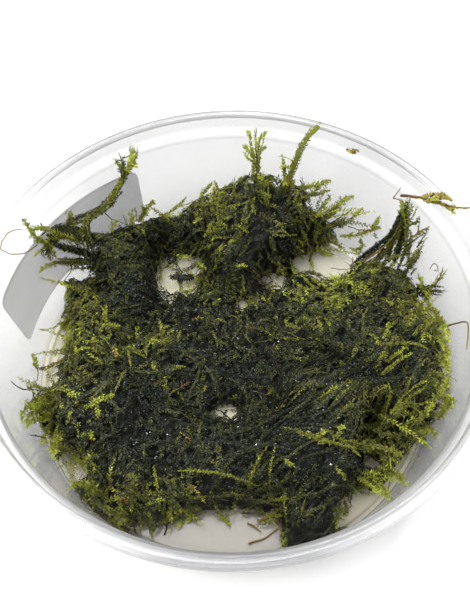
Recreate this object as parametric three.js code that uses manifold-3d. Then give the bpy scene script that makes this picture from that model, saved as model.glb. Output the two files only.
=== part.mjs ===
// A round clear plastic tub with clumps of wet weeping moss laid in it.
// Millimetres, +Z up. The origin is the middle of the tub's foot, on the surface that it stands on.
import * as THREE from 'three';
import { mergeVertices } from 'three/addons/utils/BufferGeometryUtils.js';
import Module from 'manifold-3d';

const wasm = await Module();
wasm.setup();

// Tub: radii and heights of the inner face, then the rim and the foot
const TUB_HEIGHT = 37;
const WALL = 0.8;
const FLOOR_TOP = 1.3;
const FLOOR_RADIUS = 48.4;
const GROOVE_RADIUS = 49;
const GROOVE_DEPTH = 0.35;
const HEEL_RADIUS = 50.4;
const HEEL_TOP = 2.2;
const LEDGE_RADIUS = 54.3;
const LEDGE_TOP = 30.6;
const NECK_RADIUS = 55.7;
const NECK_BOTTOM = 32.8;
const MOUTH_RADIUS = 56;
const RIM_ROUND = 0.4;
const RIM_RADIUS = 58.5;
const SKIRT_DROP = 2.6;
const SKIRT_FLARE = 0.3;
const FOOT_RECESS = 0.5;
const FOOT_INNER_RADIUS = 46.8;
const FOOT_OUTER_RADIUS = 49.8;
const FOOT_BEVEL = 0.6;
const TUB_SIDES = 48;

// Label on the outside of the wall
const LABEL_WIDTH = 52;
const LABEL_HEIGHT = 17.6;
const LABEL_THICKNESS = 0.25;
const LABEL_CORNER = 3;
const LABEL_MIDDLE_DEGREES = 147.5;
const LABEL_MIDDLE_HEIGHT = 19.3;
const LABEL_TILT_DEGREES = 3.2;
const LABEL_STEPS = 14;
const CORNER_STEPS = 3;
const LABEL_GAP = 0.45;

// Moss: air left between neighbours, and the fineness of each solid
const AIR = 0.3;
const CLUMP_AIR = 0.6;
const LUMP_SIDES = 10;
const LUMP_RINGS = 6;
const LUMP_SEAT = 0.3;
const LUMP_KNOB = 0.09;
const KNOB_WAVES = [5, 6, 7];
const SHOOT_SIDES = 4;
const SHOOT_STEP = 9;
const SHOOT_ROOT = 1.7;
const SHOOT_TIP = 0.6;
const SHOOT_LENGTH = 13;
const SHOOT_DEPTH = 3.4;
const STEM_SIDES = 5;
const STEM_STEP = 6;
const LEAST_STEPS = 2;
const SPRIG_ROOT = 1.5;
const SPRIG_TIP = 0.7;
const FINENESS = 0.25;
const SAME_POINT = 1e-4;

const radians = THREE.MathUtils.degToRad;

// Wall radius of the inner face at a height, for what lies against it
function wallRadius(height) {
  const rise = (height - HEEL_TOP) / (LEDGE_TOP - HEEL_TOP);
  return THREE.MathUtils.lerp(HEEL_RADIUS, LEDGE_RADIUS, rise);
}

function turned(profile, sides) {
  const points = profile.map(([radius, height]) => new THREE.Vector2(radius, height));
  return new THREE.LatheGeometry(points, sides).rotateX(Math.PI / 2);
}

// Closed geometry to solid: shared corners are merged and triangles of no width are dropped
function solid(geometry) {
  const plain = geometry.clone();
  plain.deleteAttribute('normal');
  plain.deleteAttribute('uv');
  const merged = mergeVertices(plain, SAME_POINT);
  const index = Array.from(merged.index.array);
  const kept = [];
  for (let i = 0; i < index.length; i += 3) {
    const [a, b, c] = index.slice(i, i + 3);
    if (a !== b && b !== c && c !== a) kept.push(a, b, c);
  }
  return new wasm.Manifold(new wasm.Mesh({
    numProp: 3,
    vertProperties: new Float32Array(merged.attributes.position.array),
    triVerts: new Uint32Array(kept),
  }));
}

function geometryOf(manifold) {
  const mesh = manifold.getMesh();
  const geometry = new THREE.BufferGeometry();
  geometry.setAttribute('position', new THREE.BufferAttribute(mesh.vertProperties, mesh.numProp));
  geometry.setIndex(new THREE.BufferAttribute(mesh.triVerts, 1));
  geometry.computeVertexNormals();
  return geometry;
}

function fused(solids) {
  return solids.reduce((whole, next) => whole.add(next));
}

// Of a cut solid, the part that holds most of it
function largest(manifold) {
  return manifold.decompose().reduce((best, next) => (next.volume() > best.volume() ? next : best));
}

const material = (color, roughness, options = {}) =>
  new THREE.MeshStandardMaterial({ color, roughness, metalness: 0, ...options });

const part = new THREE.Group();

function place(name, geometry, finish) {
  const mesh = new THREE.Mesh(geometry, finish);
  mesh.name = name;
  part.add(mesh);
}

// Tub: one wall turned about the axis, from the foot up the outside, over the rim and down the inside
const rimBandOuter = RIM_RADIUS - SKIRT_FLARE;
const tubProfile = [
  [0, FOOT_RECESS],
  [FOOT_INNER_RADIUS, FOOT_RECESS],
  [FOOT_INNER_RADIUS + FOOT_BEVEL, 0],
  [FOOT_OUTER_RADIUS, 0],
  [FOOT_OUTER_RADIUS + FOOT_BEVEL, FOOT_RECESS],
  [HEEL_RADIUS + WALL, HEEL_TOP],
  [LEDGE_RADIUS + WALL, LEDGE_TOP - WALL / 2],
  [NECK_RADIUS + WALL, NECK_BOTTOM],
  [MOUTH_RADIUS + WALL, TUB_HEIGHT - WALL],
  [rimBandOuter - WALL, TUB_HEIGHT - WALL],
  [RIM_RADIUS - WALL, TUB_HEIGHT - SKIRT_DROP],
  [RIM_RADIUS, TUB_HEIGHT - SKIRT_DROP],
  [rimBandOuter, TUB_HEIGHT - RIM_ROUND],
  [rimBandOuter - RIM_ROUND, TUB_HEIGHT],
  [MOUTH_RADIUS + RIM_ROUND, TUB_HEIGHT],
  [MOUTH_RADIUS, TUB_HEIGHT - RIM_ROUND],
  [NECK_RADIUS, NECK_BOTTOM],
  [LEDGE_RADIUS, LEDGE_TOP],
  [HEEL_RADIUS, HEEL_TOP],
  [GROOVE_RADIUS, FLOOR_TOP - GROOVE_DEPTH],
  [FLOOR_RADIUS, FLOOR_TOP],
  [0, FLOOR_TOP],
];
place('tub', turned(tubProfile, TUB_SIDES), material(0xe9eae6, 0.25, { transparent: true, opacity: 0.4 }));

// Label: a thin sheet with round corners, bent round the wall that it is stuck to.
// It stands in upright columns: CORNER_STEPS of them round each end, evenly spaced between.
function labelColumns() {
  const inset = LABEL_WIDTH / 2 - LABEL_CORNER;
  const columns = [];
  for (let i = 0; i <= LABEL_STEPS; i += 1) {
    columns.push([THREE.MathUtils.lerp(-inset, inset, i / LABEL_STEPS), LABEL_HEIGHT / 2]);
  }
  for (let i = 1; i <= CORNER_STEPS; i += 1) {
    const turn = (Math.PI / 2) * (i / CORNER_STEPS);
    const out = inset + LABEL_CORNER * Math.sin(turn);
    const half = LABEL_HEIGHT / 2 - LABEL_CORNER * (1 - Math.cos(turn));
    columns.push([out, half]);
    columns.unshift([-out, half]);
  }
  return columns;
}

function labelSheet() {
  const columns = labelColumns();
  const last = columns.length - 1;
  const sheet = new THREE.BoxGeometry(last, 2, LABEL_THICKNESS, last, 1, 1);
  const corner = sheet.attributes.position;
  const middle = radians(LABEL_MIDDLE_DEGREES);
  const tilt = radians(LABEL_TILT_DEGREES);
  for (let i = 0; i < corner.count; i += 1) {
    const [across, half] = columns[Math.round(corner.getX(i) + last / 2)];
    const up = corner.getY(i) * half;
    const along = across * Math.cos(tilt) - up * Math.sin(tilt);
    const height = LABEL_MIDDLE_HEIGHT + across * Math.sin(tilt) + up * Math.cos(tilt);
    const radius = wallRadius(height) + WALL + LABEL_GAP + corner.getZ(i);
    const angle = middle + along / wallRadius(LABEL_MIDDLE_HEIGHT);
    corner.setXYZ(i, radius * Math.cos(angle), radius * Math.sin(angle), height);
  }
  sheet.computeVertexNormals();
  return sheet;
}
place('label', labelSheet(), material(0xc9cac8, 0.6));

// The room inside the tub and over it, kept AIR away from the plastic
const roomTop = 2 * TUB_HEIGHT;
const room = solid(turned([
  [0, FLOOR_TOP + AIR],
  [FLOOR_RADIUS - AIR, FLOOR_TOP + AIR],
  [HEEL_RADIUS - AIR, HEEL_TOP + AIR],
  [LEDGE_RADIUS - AIR, LEDGE_TOP + AIR],
  [NECK_RADIUS - AIR, NECK_BOTTOM + AIR],
  [MOUTH_RADIUS - AIR, TUB_HEIGHT],
  [MOUTH_RADIUS - AIR, roomTop],
  [0, roomTop],
], TUB_SIDES));

// Lump: a low knobbly dome, cut off by the tub's floor. grow makes it larger all round.
// KNOB_WAVES sets how many knobs there are across, along and up it; x and y shift them.
function lump([x, y, halfLength, halfWidth, top], grow) {
  const dome = new THREE.SphereGeometry(1, LUMP_SIDES, LUMP_RINGS).rotateX(Math.PI / 2);
  const seat = FLOOR_TOP + (top - FLOOR_TOP) * LUMP_SEAT;
  const [across, along, upward] = KNOB_WAVES;
  const corner = dome.attributes.position;
  for (let i = 0; i < corner.count; i += 1) {
    const [a, b, c] = [corner.getX(i), corner.getY(i), corner.getZ(i)];
    const level = Math.sin(across * a + x) * Math.cos(along * b + y);
    const upright = Math.sin(upward * c + x + y);
    const knob = 1 + LUMP_KNOB * (level + upright);
    corner.setXYZ(
      i,
      x + a * (halfLength * knob + grow),
      y + b * (halfWidth * knob + grow),
      seat + c * ((top - seat) * knob + grow),
    );
  }
  return solid(dome);
}

// Stem: a tapered round shoot along a smooth curve through the given points
function stem(points, [rootRadius, tipRadius], grow, sides = STEM_SIDES, stepLength = STEM_STEP) {
  const curve = new THREE.CatmullRomCurve3(points.map((point) => new THREE.Vector3(...point)));
  const steps = Math.max(LEAST_STEPS, Math.ceil(curve.getLength() / stepLength));
  const rod = new THREE.CylinderGeometry(1, 1, 1, sides, steps);
  const frames = curve.computeFrenetFrames(steps);
  const corner = rod.attributes.position;
  for (let i = 0; i < corner.count; i += 1) {
    const share = corner.getY(i) + 0.5;
    const station = Math.round(share * steps);
    const radius = THREE.MathUtils.lerp(rootRadius, tipRadius, share) + grow;
    const spot = curve.getPointAt(share);
    spot.addScaledVector(frames.normals[station], corner.getX(i) * radius);
    spot.addScaledVector(frames.binormals[station], -corner.getZ(i) * radius);
    corner.setXYZ(i, spot.x, spot.y, spot.z);
  }
  return solid(rod);
}

// Shoot: a short bent stem from the nearest lump's flank out to a tip, sagging or rising a little
function shoot(tip, lumps) {
  const gap = ([x, y]) => Math.hypot(tip[0] - x, tip[1] - y);
  const [x, y, , , top] = lumps.reduce((best, next) => (gap(next) < gap(best) ? next : best));
  const share = Math.min(1, SHOOT_LENGTH / gap([x, y]));
  const root = new THREE.Vector3(
    THREE.MathUtils.lerp(tip[0], x, share),
    THREE.MathUtils.lerp(tip[1], y, share),
    Math.max(FLOOR_TOP + SHOOT_ROOT, Math.min(tip[2], top) - SHOOT_DEPTH),
  );
  const bend = root.clone().add(new THREE.Vector3(...tip)).divideScalar(2);
  bend.z += SHOOT_TIP;
  return stem([root, bend, tip], [SHOOT_ROOT, SHOOT_TIP], 0, SHOOT_SIDES, SHOOT_STEP);
}

// Clumps, highest lying first. A lump is [x, y, half length, half width, top]; a tip is [x, y, z].
const clumps = {
  back_clump: {
    color: 0x2c3a14,
    lumps: [
      [6, 38, 13, 9, 21], [15, 31, 12, 10, 18], [1, 30, 9, 9, 15],
      [-4, 41, 7, 6, 17], [23, 37, 8, 7, 20], [9, 22, 9, 6, 9],
    ],
    tips: [
      [27.5, 43, 25], [28, 40, 20], [33.5, 38, 23], [35.5, 35.5, 21], [40, 29.5, 20], [38.5, 32.5, 23],
      [36.5, 31.5, 6], [30, 32, 5], [-4, 49, 19], [-11, 47, 14], [2, 47, 23], [14, 46, 24], [20, 45, 24],
      [-1, 20, 6], [22, 23, 6],
    ],
  },
  left_clump: {
    color: 0x2e3b15,
    lumps: [
      [-26, 31, 12, 9, 18], [-13, 36, 8, 6, 15], [-39, 28, 9, 7, 22],
      [-25, 18, 8, 10, 15], [-37, 18, 7, 7, 13],
    ],
    tips: [
      [-48.5, 21, 35], [-47, 22, 29], [-42, 31, 28], [-49, 16, 20.5], [-46, 17, 9], [-23, 43, 17],
      [-13, 44, 17], [-30, 41, 15], [-16, 27, 9], [-16, 14, 9], [-44, 22, 14],
    ],
  },
  front_clump: {
    color: 0x333f18,
    lumps: [
      [16, -28, 14, 11, 19], [31, -22, 13, 11, 22], [43, -12, 8, 12, 21], [14, -41, 8, 8, 12],
      [26, -36, 10, 8, 18], [21, -13, 13, 8, 16], [-1, -30, 12, 10, 14],
    ],
    tips: [
      [10, -47, 3], [22, -44, 4], [29, -43.5, 25], [32, -40.5, 26], [40.5, -33, 23],
      [46.5, -25, 26], [49.5, -17, 22], [50.5, -8, 20], [40, -27, 10], [3, -42.5, 3],
      [-3, -42, 4], [34, -34, 9], [24, -42, 9],
    ],
  },
  lower_left_clump: {
    color: 0x2f3c16,
    lumps: [
      [-35, 3, 9, 11, 13], [-30, -13, 12, 11, 15], [-41, -14, 8, 11, 15], [-36, -27, 9, 8, 16],
      [-24, -31, 10, 9, 15], [-20, -5, 9, 10, 11], [-14, -26, 9, 12, 13], [-14, -37, 8, 6, 11],
    ],
    tips: [
      [-49.5, 7, 10], [-50, -1, 11], [-50, -12, 20], [-47, -22, 20], [-44, -27, 19], [-41, -30, 10],
      [-35, -37, 18], [-20, -44, 3], [-16, -43.5, 3], [-8, -42, 4], [-46, -6, 15], [-27, -40, 6],
    ],
  },
  right_clump: {
    color: 0x39431a,
    lumps: [
      [34, 10, 10, 9, 13], [43, 15, 7, 9, 16], [45, 3, 7, 9, 16], [37, 21, 7, 7, 14], [24, 8, 10, 8, 11],
      [34, 0, 9, 8, 12],
    ],
    tips: [
      [48.5, 19, 28], [47.5, 18, 22], [50.5, 10, 26], [50.5, 6, 22], [50, 8, 15], [51, 0, 19], [27, 20, 8],
      [22, 16, 8], [30, 25, 6],
    ],
  },
  centre_mat: {
    color: 0x23290f,
    lumps: [
      [-9, 8, 13, 12, 9], [10, 7, 13, 12, 8.5], [1, -8, 14, 11, 8],
    ],
    tips: [
      [-9, 21, 6], [13, 15, 7], [1, 17, 5],
    ],
  },
};

// Long shoots that stand out of a clump, as points on each stem
const sprigs = {
  back_sprig_left: {
    color: 0x6f7b22,
    stems: [
      [[8, 43, 12], [8.2, 45.5, 22], [8, 47, 30], [7.2, 50, 36.5]],
      [[8.1, 46.8, 29], [9.2, 48, 33], [10, 49.3, 36]],
      [[8.1, 46.2, 26], [6.3, 47.5, 31], [4.8, 48.5, 33]],
    ],
  },
  back_sprig_right: {
    color: 0x6a7520,
    stems: [
      [[15, 42, 14], [17, 44.5, 25], [20, 47, 34], [23.5, 48.8, 39.4]],
      [[15.8, 43.4, 20], [15.4, 45.5, 25], [14.8, 47, 28.5]],
    ],
  },
  left_sprig: {
    color: 0x5d6a1e,
    stems: [
      [
        [-37, 27, 17], [-37.5, 31, 24], [-32.5, 36.5, 24.5],
        [-28, 42, 28.5], [-25, 44.5, 33], [-24.5, 45.3, 36.6],
      ],
      [[-27.6, 42.2, 29], [-27.3, 43.6, 32], [-28, 44.6, 33]],
    ],
  },
  right_sprig: {
    color: 0x555f1e,
    stems: [
      [[37, 22, 9], [40.5, 25, 15], [42.3, 26.5, 22], [43.8, 26.8, 29], [44.2, 28, 32.5]],
      [[43, 18, 12], [45, 21, 20], [45.2, 24, 27], [44, 27, 31.5]],
      [[44.8, 21.3, 22], [47.2, 20.4, 27], [48.5, 19.5, 30]],
    ],
  },
};

// Loose bits: a strand over the rim, one on the right wall, and brown stems on the floor
const strands = {
  rim_strand: {
    color: 0x6b5a2a,
    radius: 0.6,
    stems: [
      [[43.2, 29.6, 32], [46.5, 25.5, 35.5], [49.8, 20.8, 38.2], [53.5, 19.6, 38.2], [57.6, 19.2, 38.2]],
      [[47.6, 24, 36.5], [50.2, 21.6, 39.5], [51.4, 19.3, 41]],
    ],
  },
  right_strand: {
    color: 0x7a5a2c,
    radius: 0.4,
    stems: [[[51.3, -1.2, 19], [52, -3.5, 24], [52.7, -6, 28.3], [52.3, -9, 28], [51.3, -12.4, 27.6]]],
  },
  floor_stem_long: {
    color: 0x9a5a2a,
    radius: 0.35,
    stems: [[[2, -46, 2.1], [6, -44.8, 2.1], [9, -42.6, 2.3]]],
  },
  floor_stem_short: {
    color: 0x9a5a2a,
    radius: 0.3,
    stems: [[[2, -41.6, 2.1], [3.5, -42.3, 2.1], [5, -43.6, 2.1]]],
  },
};

const stemsOf = ({ stems }, radii, grow) => fused(stems.map((points) => stem(points, radii, grow)));

const domes = ({ lumps }, grow) => fused(lumps.map((one) => lump(one, grow)));
const shoots = ({ lumps, tips }) => fused(tips.map((tip) => shoot(tip, lumps)));

// Every piece makes way for those before it: sprigs and strands first, then the clumps
const swollen = [];
for (const [name, piece] of Object.entries(strands)) {
  const radii = [piece.radius, piece.radius];
  swollen.push(stemsOf(piece, radii, AIR));
  const body = stemsOf(piece, radii, 0);
  place(name, geometryOf(body), material(piece.color, 0.7));
}
for (const [name, piece] of Object.entries(sprigs)) {
  const radii = [SPRIG_ROOT, SPRIG_TIP];
  swollen.push(stemsOf(piece, radii, AIR));
  const body = stemsOf(piece, radii, 0).intersect(room);
  place(name, geometryOf(body), material(piece.color, 0.6));
}
for (const [name, piece] of Object.entries(clumps)) {
  const whole = domes(piece, 0).simplify(FINENESS).add(shoots(piece));
  const free = whole.intersect(room).subtract(fused(swollen)).simplify(FINENESS);
  swollen.push(domes(piece, CLUMP_AIR).simplify(FINENESS));
  place(name, geometryOf(largest(free)), material(piece.color, 0.75));
}

export default part;
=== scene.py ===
"""A round clear food tub with a portion of wet weeping moss in it, seen from above on a white table."""
import math

import bpy
import numpy as np
from mathutils import Euler, Matrix, Vector, noise


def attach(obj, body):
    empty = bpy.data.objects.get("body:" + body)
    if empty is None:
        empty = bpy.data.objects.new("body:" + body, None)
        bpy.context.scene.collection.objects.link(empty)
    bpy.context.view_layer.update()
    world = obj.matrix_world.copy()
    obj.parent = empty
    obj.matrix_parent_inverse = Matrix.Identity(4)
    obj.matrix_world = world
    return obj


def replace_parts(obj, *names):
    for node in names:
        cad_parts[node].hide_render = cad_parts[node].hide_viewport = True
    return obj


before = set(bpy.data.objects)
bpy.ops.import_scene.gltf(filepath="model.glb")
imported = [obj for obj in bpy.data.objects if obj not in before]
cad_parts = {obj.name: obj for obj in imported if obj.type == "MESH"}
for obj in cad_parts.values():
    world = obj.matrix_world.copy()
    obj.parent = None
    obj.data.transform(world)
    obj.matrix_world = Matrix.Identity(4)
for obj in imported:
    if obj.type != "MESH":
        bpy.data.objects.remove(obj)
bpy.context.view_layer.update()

# Lengths are millimetres, and become metres where a mesh or a material is made. Lights and table are in
# metres.
MM = 0.001
BODY = "root"

# Camera, as solved from the circles of the tub
EYE = (0.0, -82.31, 152.94)
LOOK_RIGHT = 0.464
LOOK_DOWN = 55.747
CAMERA_ROLL = -1.329
FOCAL_PIXELS = 650
IMAGE_WIDTH = 470
IMAGE_HEIGHT = 596
SENSOR = 36
NEAREST_SEEN = 5
AIM = Euler((math.radians(90 - LOOK_DOWN), 0, math.radians(-LOOK_RIGHT))).to_matrix()
AIM = np.array(AIM @ Matrix.Rotation(math.radians(CAMERA_ROLL), 3, "Z"))

# Lights and table
WORLD_LIGHT = 0.8
KEY_PLACE = (-0.14, -0.03, 0.62)
KEY_SIZE = 0.5
KEY_WATTS = 4.3
LAMPS = [(0.1, 0.35, 0.55), (-0.12, 0.3, 0.6), (0.25, 0.2, 0.55), (-0.3, 0.4, 0.45), (0.02, 0.45, 0.5)]
LAMP_SIZE = 0.03
LAMP_WATTS = 0.6
TABLE_SIZE = 2.4
TABLE_CELLS = 8
TABLE_HEIGHT = -0.0002
TABLE_WHITE = (0.97, 0.97, 0.97, 1)
TABLE_ROUGHNESS = 0.8

# Tub, as in the frame
TUB_HEIGHT = 37
WALL = 0.8
FLOOR_TOP = 1.3
HEEL_RADIUS = 50.4
HEEL_TOP = 2.2
LEDGE_RADIUS = 54.3
LEDGE_TOP = 30.6
NECK_RADIUS = 55.7
NECK_BOTTOM = 32.8
MOUTH_RADIUS = 56
RIM_RADIUS = 58.5
SKIRT_DROP = 2.6
SKIRT_FLARE = 0.3
TUB_PROFILE = [
    (0, 0.5), (46.8, 0.5), (47.4, 0), (49.8, 0), (50.4, 0.5),
    (HEEL_RADIUS + WALL, HEEL_TOP), (LEDGE_RADIUS + WALL, LEDGE_TOP - 0.4),
    (NECK_RADIUS + WALL, NECK_BOTTOM), (MOUTH_RADIUS + WALL, TUB_HEIGHT - WALL),
    (RIM_RADIUS - SKIRT_FLARE - WALL, TUB_HEIGHT - WALL), (RIM_RADIUS - WALL, TUB_HEIGHT - SKIRT_DROP),
    (RIM_RADIUS, TUB_HEIGHT - SKIRT_DROP), (RIM_RADIUS - SKIRT_FLARE, TUB_HEIGHT),
    (MOUTH_RADIUS, TUB_HEIGHT), (NECK_RADIUS, NECK_BOTTOM), (LEDGE_RADIUS, LEDGE_TOP),
    (HEEL_RADIUS, HEEL_TOP), (49, 0.95), (48.4, FLOOR_TOP), (0, FLOOR_TOP),
]
TUB_SEGMENTS = 256
CORNER_CUT = 0.7
CORNER_MOST = 0.42
CORNER_STEPS = 4

# Label: its edges lie where they show through the wall, so it is a little longer and lower than in the frame
LABEL_WIDTH = 53.4
LABEL_HEIGHT = 16.8
LABEL_CORNER = 2.2
LABEL_MIDDLE_DEGREES = 147.1
LABEL_MIDDLE_HEIGHT = 17.5
LABEL_TILT_DEGREES = 1.6
LABEL_GAP = 0.2
LABEL_THICKNESS = 0.2
LABEL_COLUMNS = 45
LABEL_ROWS = 13
LABEL_CORNER_STEPS = 8

# Mat of moss: the grid that holds its height, how it is closed over the dips between the heaps, and the
# block inside it, near black as painted shade
FIELD_REACH = 57
FIELD_STEP = 0.8
FILL_RADIUS = 6.5
FILL_SHARE = 0.62
LEAST_HEIGHT = 2.3
SEAT_SHARE = 0.3
GAP_ROOM = 0.2
GAP_LEVELS = (26, 0.6)
EDGE_ROOM = 0.9
INSET_CELLS = 12
BODY_DEPTH = 2.1
BODY_INSET = 2.0
BODY_SLOPE = 3.0
BODY_EDGE = 0.4
BODY_LEAST = 0.5
BODY_UNDERSIDE = 0.3
BODY_FOOT_ROOM = 1
KNOB_HEIGHT = 0.7
KNOB_SCALE = 0.8
STEEPEST = 0.25
SIGHT_TOP = 30
SIGHT_STEP = 0.25
SIGHT_ROOM = 0.9
WALL_ROOM = 0.5
FLOOR_ROOM = 0.35

# Leaves: sizes are shares of a leaf's length, angles are degrees, and a pair is a middle value and its spread
# or a least and a most value. Each curve goes along the shoot from root to tip.
LEAF_PLUMP = 0.23
LEAF_PLACE_JITTER = 0.7
LEAF_ANGLE_SPREAD = 10
LEAF_CLOSING = ((0, 0.85, 1), (1, 1, 0.35))
LEAF_LEAN = (0.15, 0.4)
LEAF_TWIST = 0.25
LEAF_SIZE_CURVE = ((0, 0.2, 0.75, 1), (0.75, 1, 0.95, 0.55))
LEAF_SIZES = (0.8, 1.15)
LEAF_WIDEST = 0.38
LEAF_FOLD = 0.07
LEAF_HEEL = 0.05
LEAF_DROOP = (0, 0.3)
LEAF_FACES = np.array([(0, 2, 1), (1, 2, 3), (0, 1, 3), (0, 3, 2)])
LEAF_MOTTLE = 0.05
LEAF_LIGHT = (0.45, 0.16)
LEAF_LIGHTS = (0.04, 0.9)
LEAF_TONES = (0.01, 0.985)
LEAF_MAP = "OFBake"
LEAF_TONE_WIDTH = 0.004
LEAF_LIGHT_STEP = 0.06
LIGHTEST_TONE = 0.8

# Stems and side shoots
STEM_TAPER = 0.4
STEM_DARKENING = (0.8, 0.9)
STEM_LIGHT = 0.35
SIDE_SHOOT_CURVE = ((0, 0.35, 1), (0.7, 1, 0.45))
SIDE_SHOOT_SIZES = (0.65, 1.2)
SIDE_SHOOT_FIRST = (0.5, 1.2)
SIDE_SHOOT_GAPS = (0.7, 1.3)
SIDE_SHOOT_WAY = (0.62, 0.78)
SIDE_SHOOT_LIFT = (0.02, 0.2)
SIDE_SHOOT_BEND = 0.25
SIDE_SHOOT_STATIONS = 5
SIDE_SHOOT_LEAF = 0.85
SIDE_SHOOT_SPACING = 1.05
SIDE_SHOOT_THICKNESS = 0.08
SIDE_SHOOT_LIGHTER = 0.12
BARE_TIP = 0.8

# Shoots that creep over the mat, runners over them and drops of water among them, pale as a painted glint
STRIDE = 1.0
CREEP_DEPTH = 1.5
CREEP_RISES = (-1.3, 1.6)
CREEP_SURFACING = 2.5
CREEP_DROOP = 0.5
COMB_SPREAD = 18
HEADING_SPREAD = 0.6
OUTWARD_SPREAD = 0.02
FRINGE_DEPTH = 1.5
WALL_REGION = 43
LIFTS = (-0.6, 0.9)
FRINGE_LIFTS = (0, 3.5)
SHOOT_TONE_SPREAD = 0.07
ROOT_DARKER = 0.13
TIP_LIGHTER = (0.08, 0.13)
LIGHT_SPOT_TONE = 0.29
LIGHT_SPOT_GAIN = 1.5
DRY_SHARE = 0.004
DRY_TONES = (0.95, 0.90)
LEAST_FROND = 4.5
FROND_REACHES = (1.4, 2.4)
SHOOT_LEAVES = (0.85, 1.15)
ARM_LENGTH = 13
ARM_LOWEST = 1.7
ARM_DEPTH = 3.4
ARM_ARCH = 0.6
ARM_STEP = 1.2
ARM_SPACING = 0.42
ARM_SHARES = (0.6, 0.95)
ARM_LIGHTER = 0.25
RUNNER_SHARE = 0.05
RUNNER_SPREAD = 25
RUNNER_LENGTHS = (9, 20)
RUNNER_UNCOMBED = 0.6
RUNNER_LIFTS = (0.2, 1.4)
RUNNER_WANDER = 0.13
RUNNER_RADII = (0.09, 0.06)
RUNNER_LEAVES = (0.65, 0.95)
RUNNER_BARE_SHARE = 0.16
RUNNER_BARE_TONES = [(0.1, 0.1), (0.99, 0.94), (0.3, 0.4)]
DROPLET_SHARE = 0.34
DROPLET_HEIGHTS = (-0.3, 0.7)
DROPLET_SIZES = (0.04, 0.12)
DROPLET_DARKEST = 0.2
# Lightness of a droplet's pale painted glint
DROPLET_PAINTED_GLINT_LIGHT = 0.3
DROPLET_PAINTED_GLINT_STEP = 0.01
# Lightness of the inside block, kept low as painted shade
INSIDE_PAINTED_SHADE_LIGHT = 0.05
DROPLET_FACES = np.array([
    (0, 1, 2), (1, 3, 2), (3, 4, 2), (4, 0, 2), (1, 0, 5), (3, 1, 5), (4, 3, 5), (0, 4, 5),
])


def unit(vectors):
    """The vectors at length one."""
    return vectors / np.maximum(np.linalg.norm(vectors, axis=-1, keepdims=True), 1e-9)


def wall_radius(height):
    """Radius of the tub's inner face at each height."""
    heights = (HEEL_TOP, LEDGE_TOP, NECK_BOTTOM, TUB_HEIGHT)
    return np.interp(height, heights, (HEEL_RADIUS, LEDGE_RADIUS, NECK_RADIUS, MOUTH_RADIUS))


def kept_inside(points):
    """The points moved to where the tub has room for them."""
    points = np.array(points, float)
    points[:, 2] = np.maximum(points[:, 2], FLOOR_TOP + FLOOR_ROOM)
    radius = np.hypot(points[:, 0], points[:, 1])
    most = np.where(points[:, 2] < TUB_HEIGHT + 0.5, wall_radius(points[:, 2]) - WALL_ROOM, RIM_RADIUS)
    points[:, :2] *= np.minimum(1, most / np.maximum(radius, 1e-6))[:, None]
    return points


# Bare places between the shoots, as they show in the photograph: the middle, half width and half height of
# each in pixels
GAPS = [
    (168, 281, 10, 19), (184, 264, 20, 7), (189, 286, 6, 9), (333, 263, 22, 17), (302, 265, 10, 8),
    (274, 281, 14, 4), (243, 304, 5, 4), (226, 413, 13, 4.5), (103, 292, 5, 7), (40, 287, 22, 20),
    (76, 250, 17, 6), (86, 277, 10, 5), (103, 207, 24, 12), (98, 223, 14, 7), (46, 212, 14, 6),
    (45, 336, 19, 17), (34, 380, 26, 10), (69, 471, 17, 15), (214, 538, 68, 24), (241, 522, 36, 10),
    (362, 511, 27, 19), (398, 486, 13, 12), (404, 468, 9, 8), (373, 464, 9, 8), (367, 437, 6, 5),
    (419, 452, 9, 10), (430, 304, 13, 12), (51, 350, 10, 9), (321, 206, 13, 9), (46, 446, 8, 9),
    (54, 426, 4, 6), (425, 237, 9, 9),
]
GAP_PIXELS_PER_MM = 4


def seen_at(points):
    """The pixel of the photograph at which each point is seen."""
    away = (np.asarray(points, float).reshape(-1, 3) - EYE) @ AIM
    across, up = (away[:, axis] * FOCAL_PIXELS / -away[:, 2] for axis in (0, 1))
    return IMAGE_WIDTH / 2 + across, IMAGE_HEIGHT / 2 - up


def gap_distance(points):
    """About how far each point is, as seen from EYE, from the nearest bare place: below 0 over one."""
    across, down = seen_at(points)
    nearest = np.full(len(across), 99.0)
    for x, y, half_width, half_height in GAPS:
        ring = np.hypot((across - x) / half_width, (down - y) / half_height)
        nearest = np.minimum(nearest, (ring - 1) * min(half_width, half_height) / GAP_PIXELS_PER_MM)
    return nearest


def open_length(points, room):
    """How many of a path's points come before the first that is nearer than the room to a bare place."""
    is_open = gap_distance(points) > room
    return len(points) if is_open.all() else int(np.argmin(is_open))


def lengths_along(points):
    """How far along the path each of its points lies."""
    steps = np.linalg.norm(np.diff(points, axis=0), axis=1)
    return np.concatenate([[0], np.cumsum(steps)])


def smooth_path(points, step=1.0):
    """A Catmull-Rom curve through the points, with a station about every step."""
    points = np.array(points, float)
    before = 2 * points[0] - points[1]
    after = 2 * points[-1] - points[-2]
    p = np.vstack([before, points, after])
    stations = []
    for k in range(1, len(p) - 2):
        count = max(2, int(np.linalg.norm(p[k + 1] - p[k]) / step))
        for t in np.arange(count) / count:
            stations.append(0.5 * (
                2 * p[k] + (p[k + 1] - p[k - 1]) * t
                + (2 * p[k - 1] - 5 * p[k] + 4 * p[k + 1] - p[k + 2]) * t ** 2
                + (3 * p[k] - p[k - 1] - 3 * p[k + 1] + p[k + 2]) * t ** 3
            ))
    stations.append(points[-1])
    return np.array(stations)


# Camera, lights and table

def make_camera():
    data = bpy.data.cameras.new("photo_view")
    data.sensor_width = SENSOR
    data.lens = FOCAL_PIXELS / IMAGE_HEIGHT * SENSOR
    data.clip_start = NEAREST_SEEN * MM
    camera = bpy.data.objects.new("photo_view", data)
    camera.matrix_world = Matrix.Translation(Vector(EYE) * MM) @ Matrix(AIM).to_4x4()
    bpy.context.scene.collection.objects.link(camera)
    bpy.context.scene.camera = camera


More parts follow.
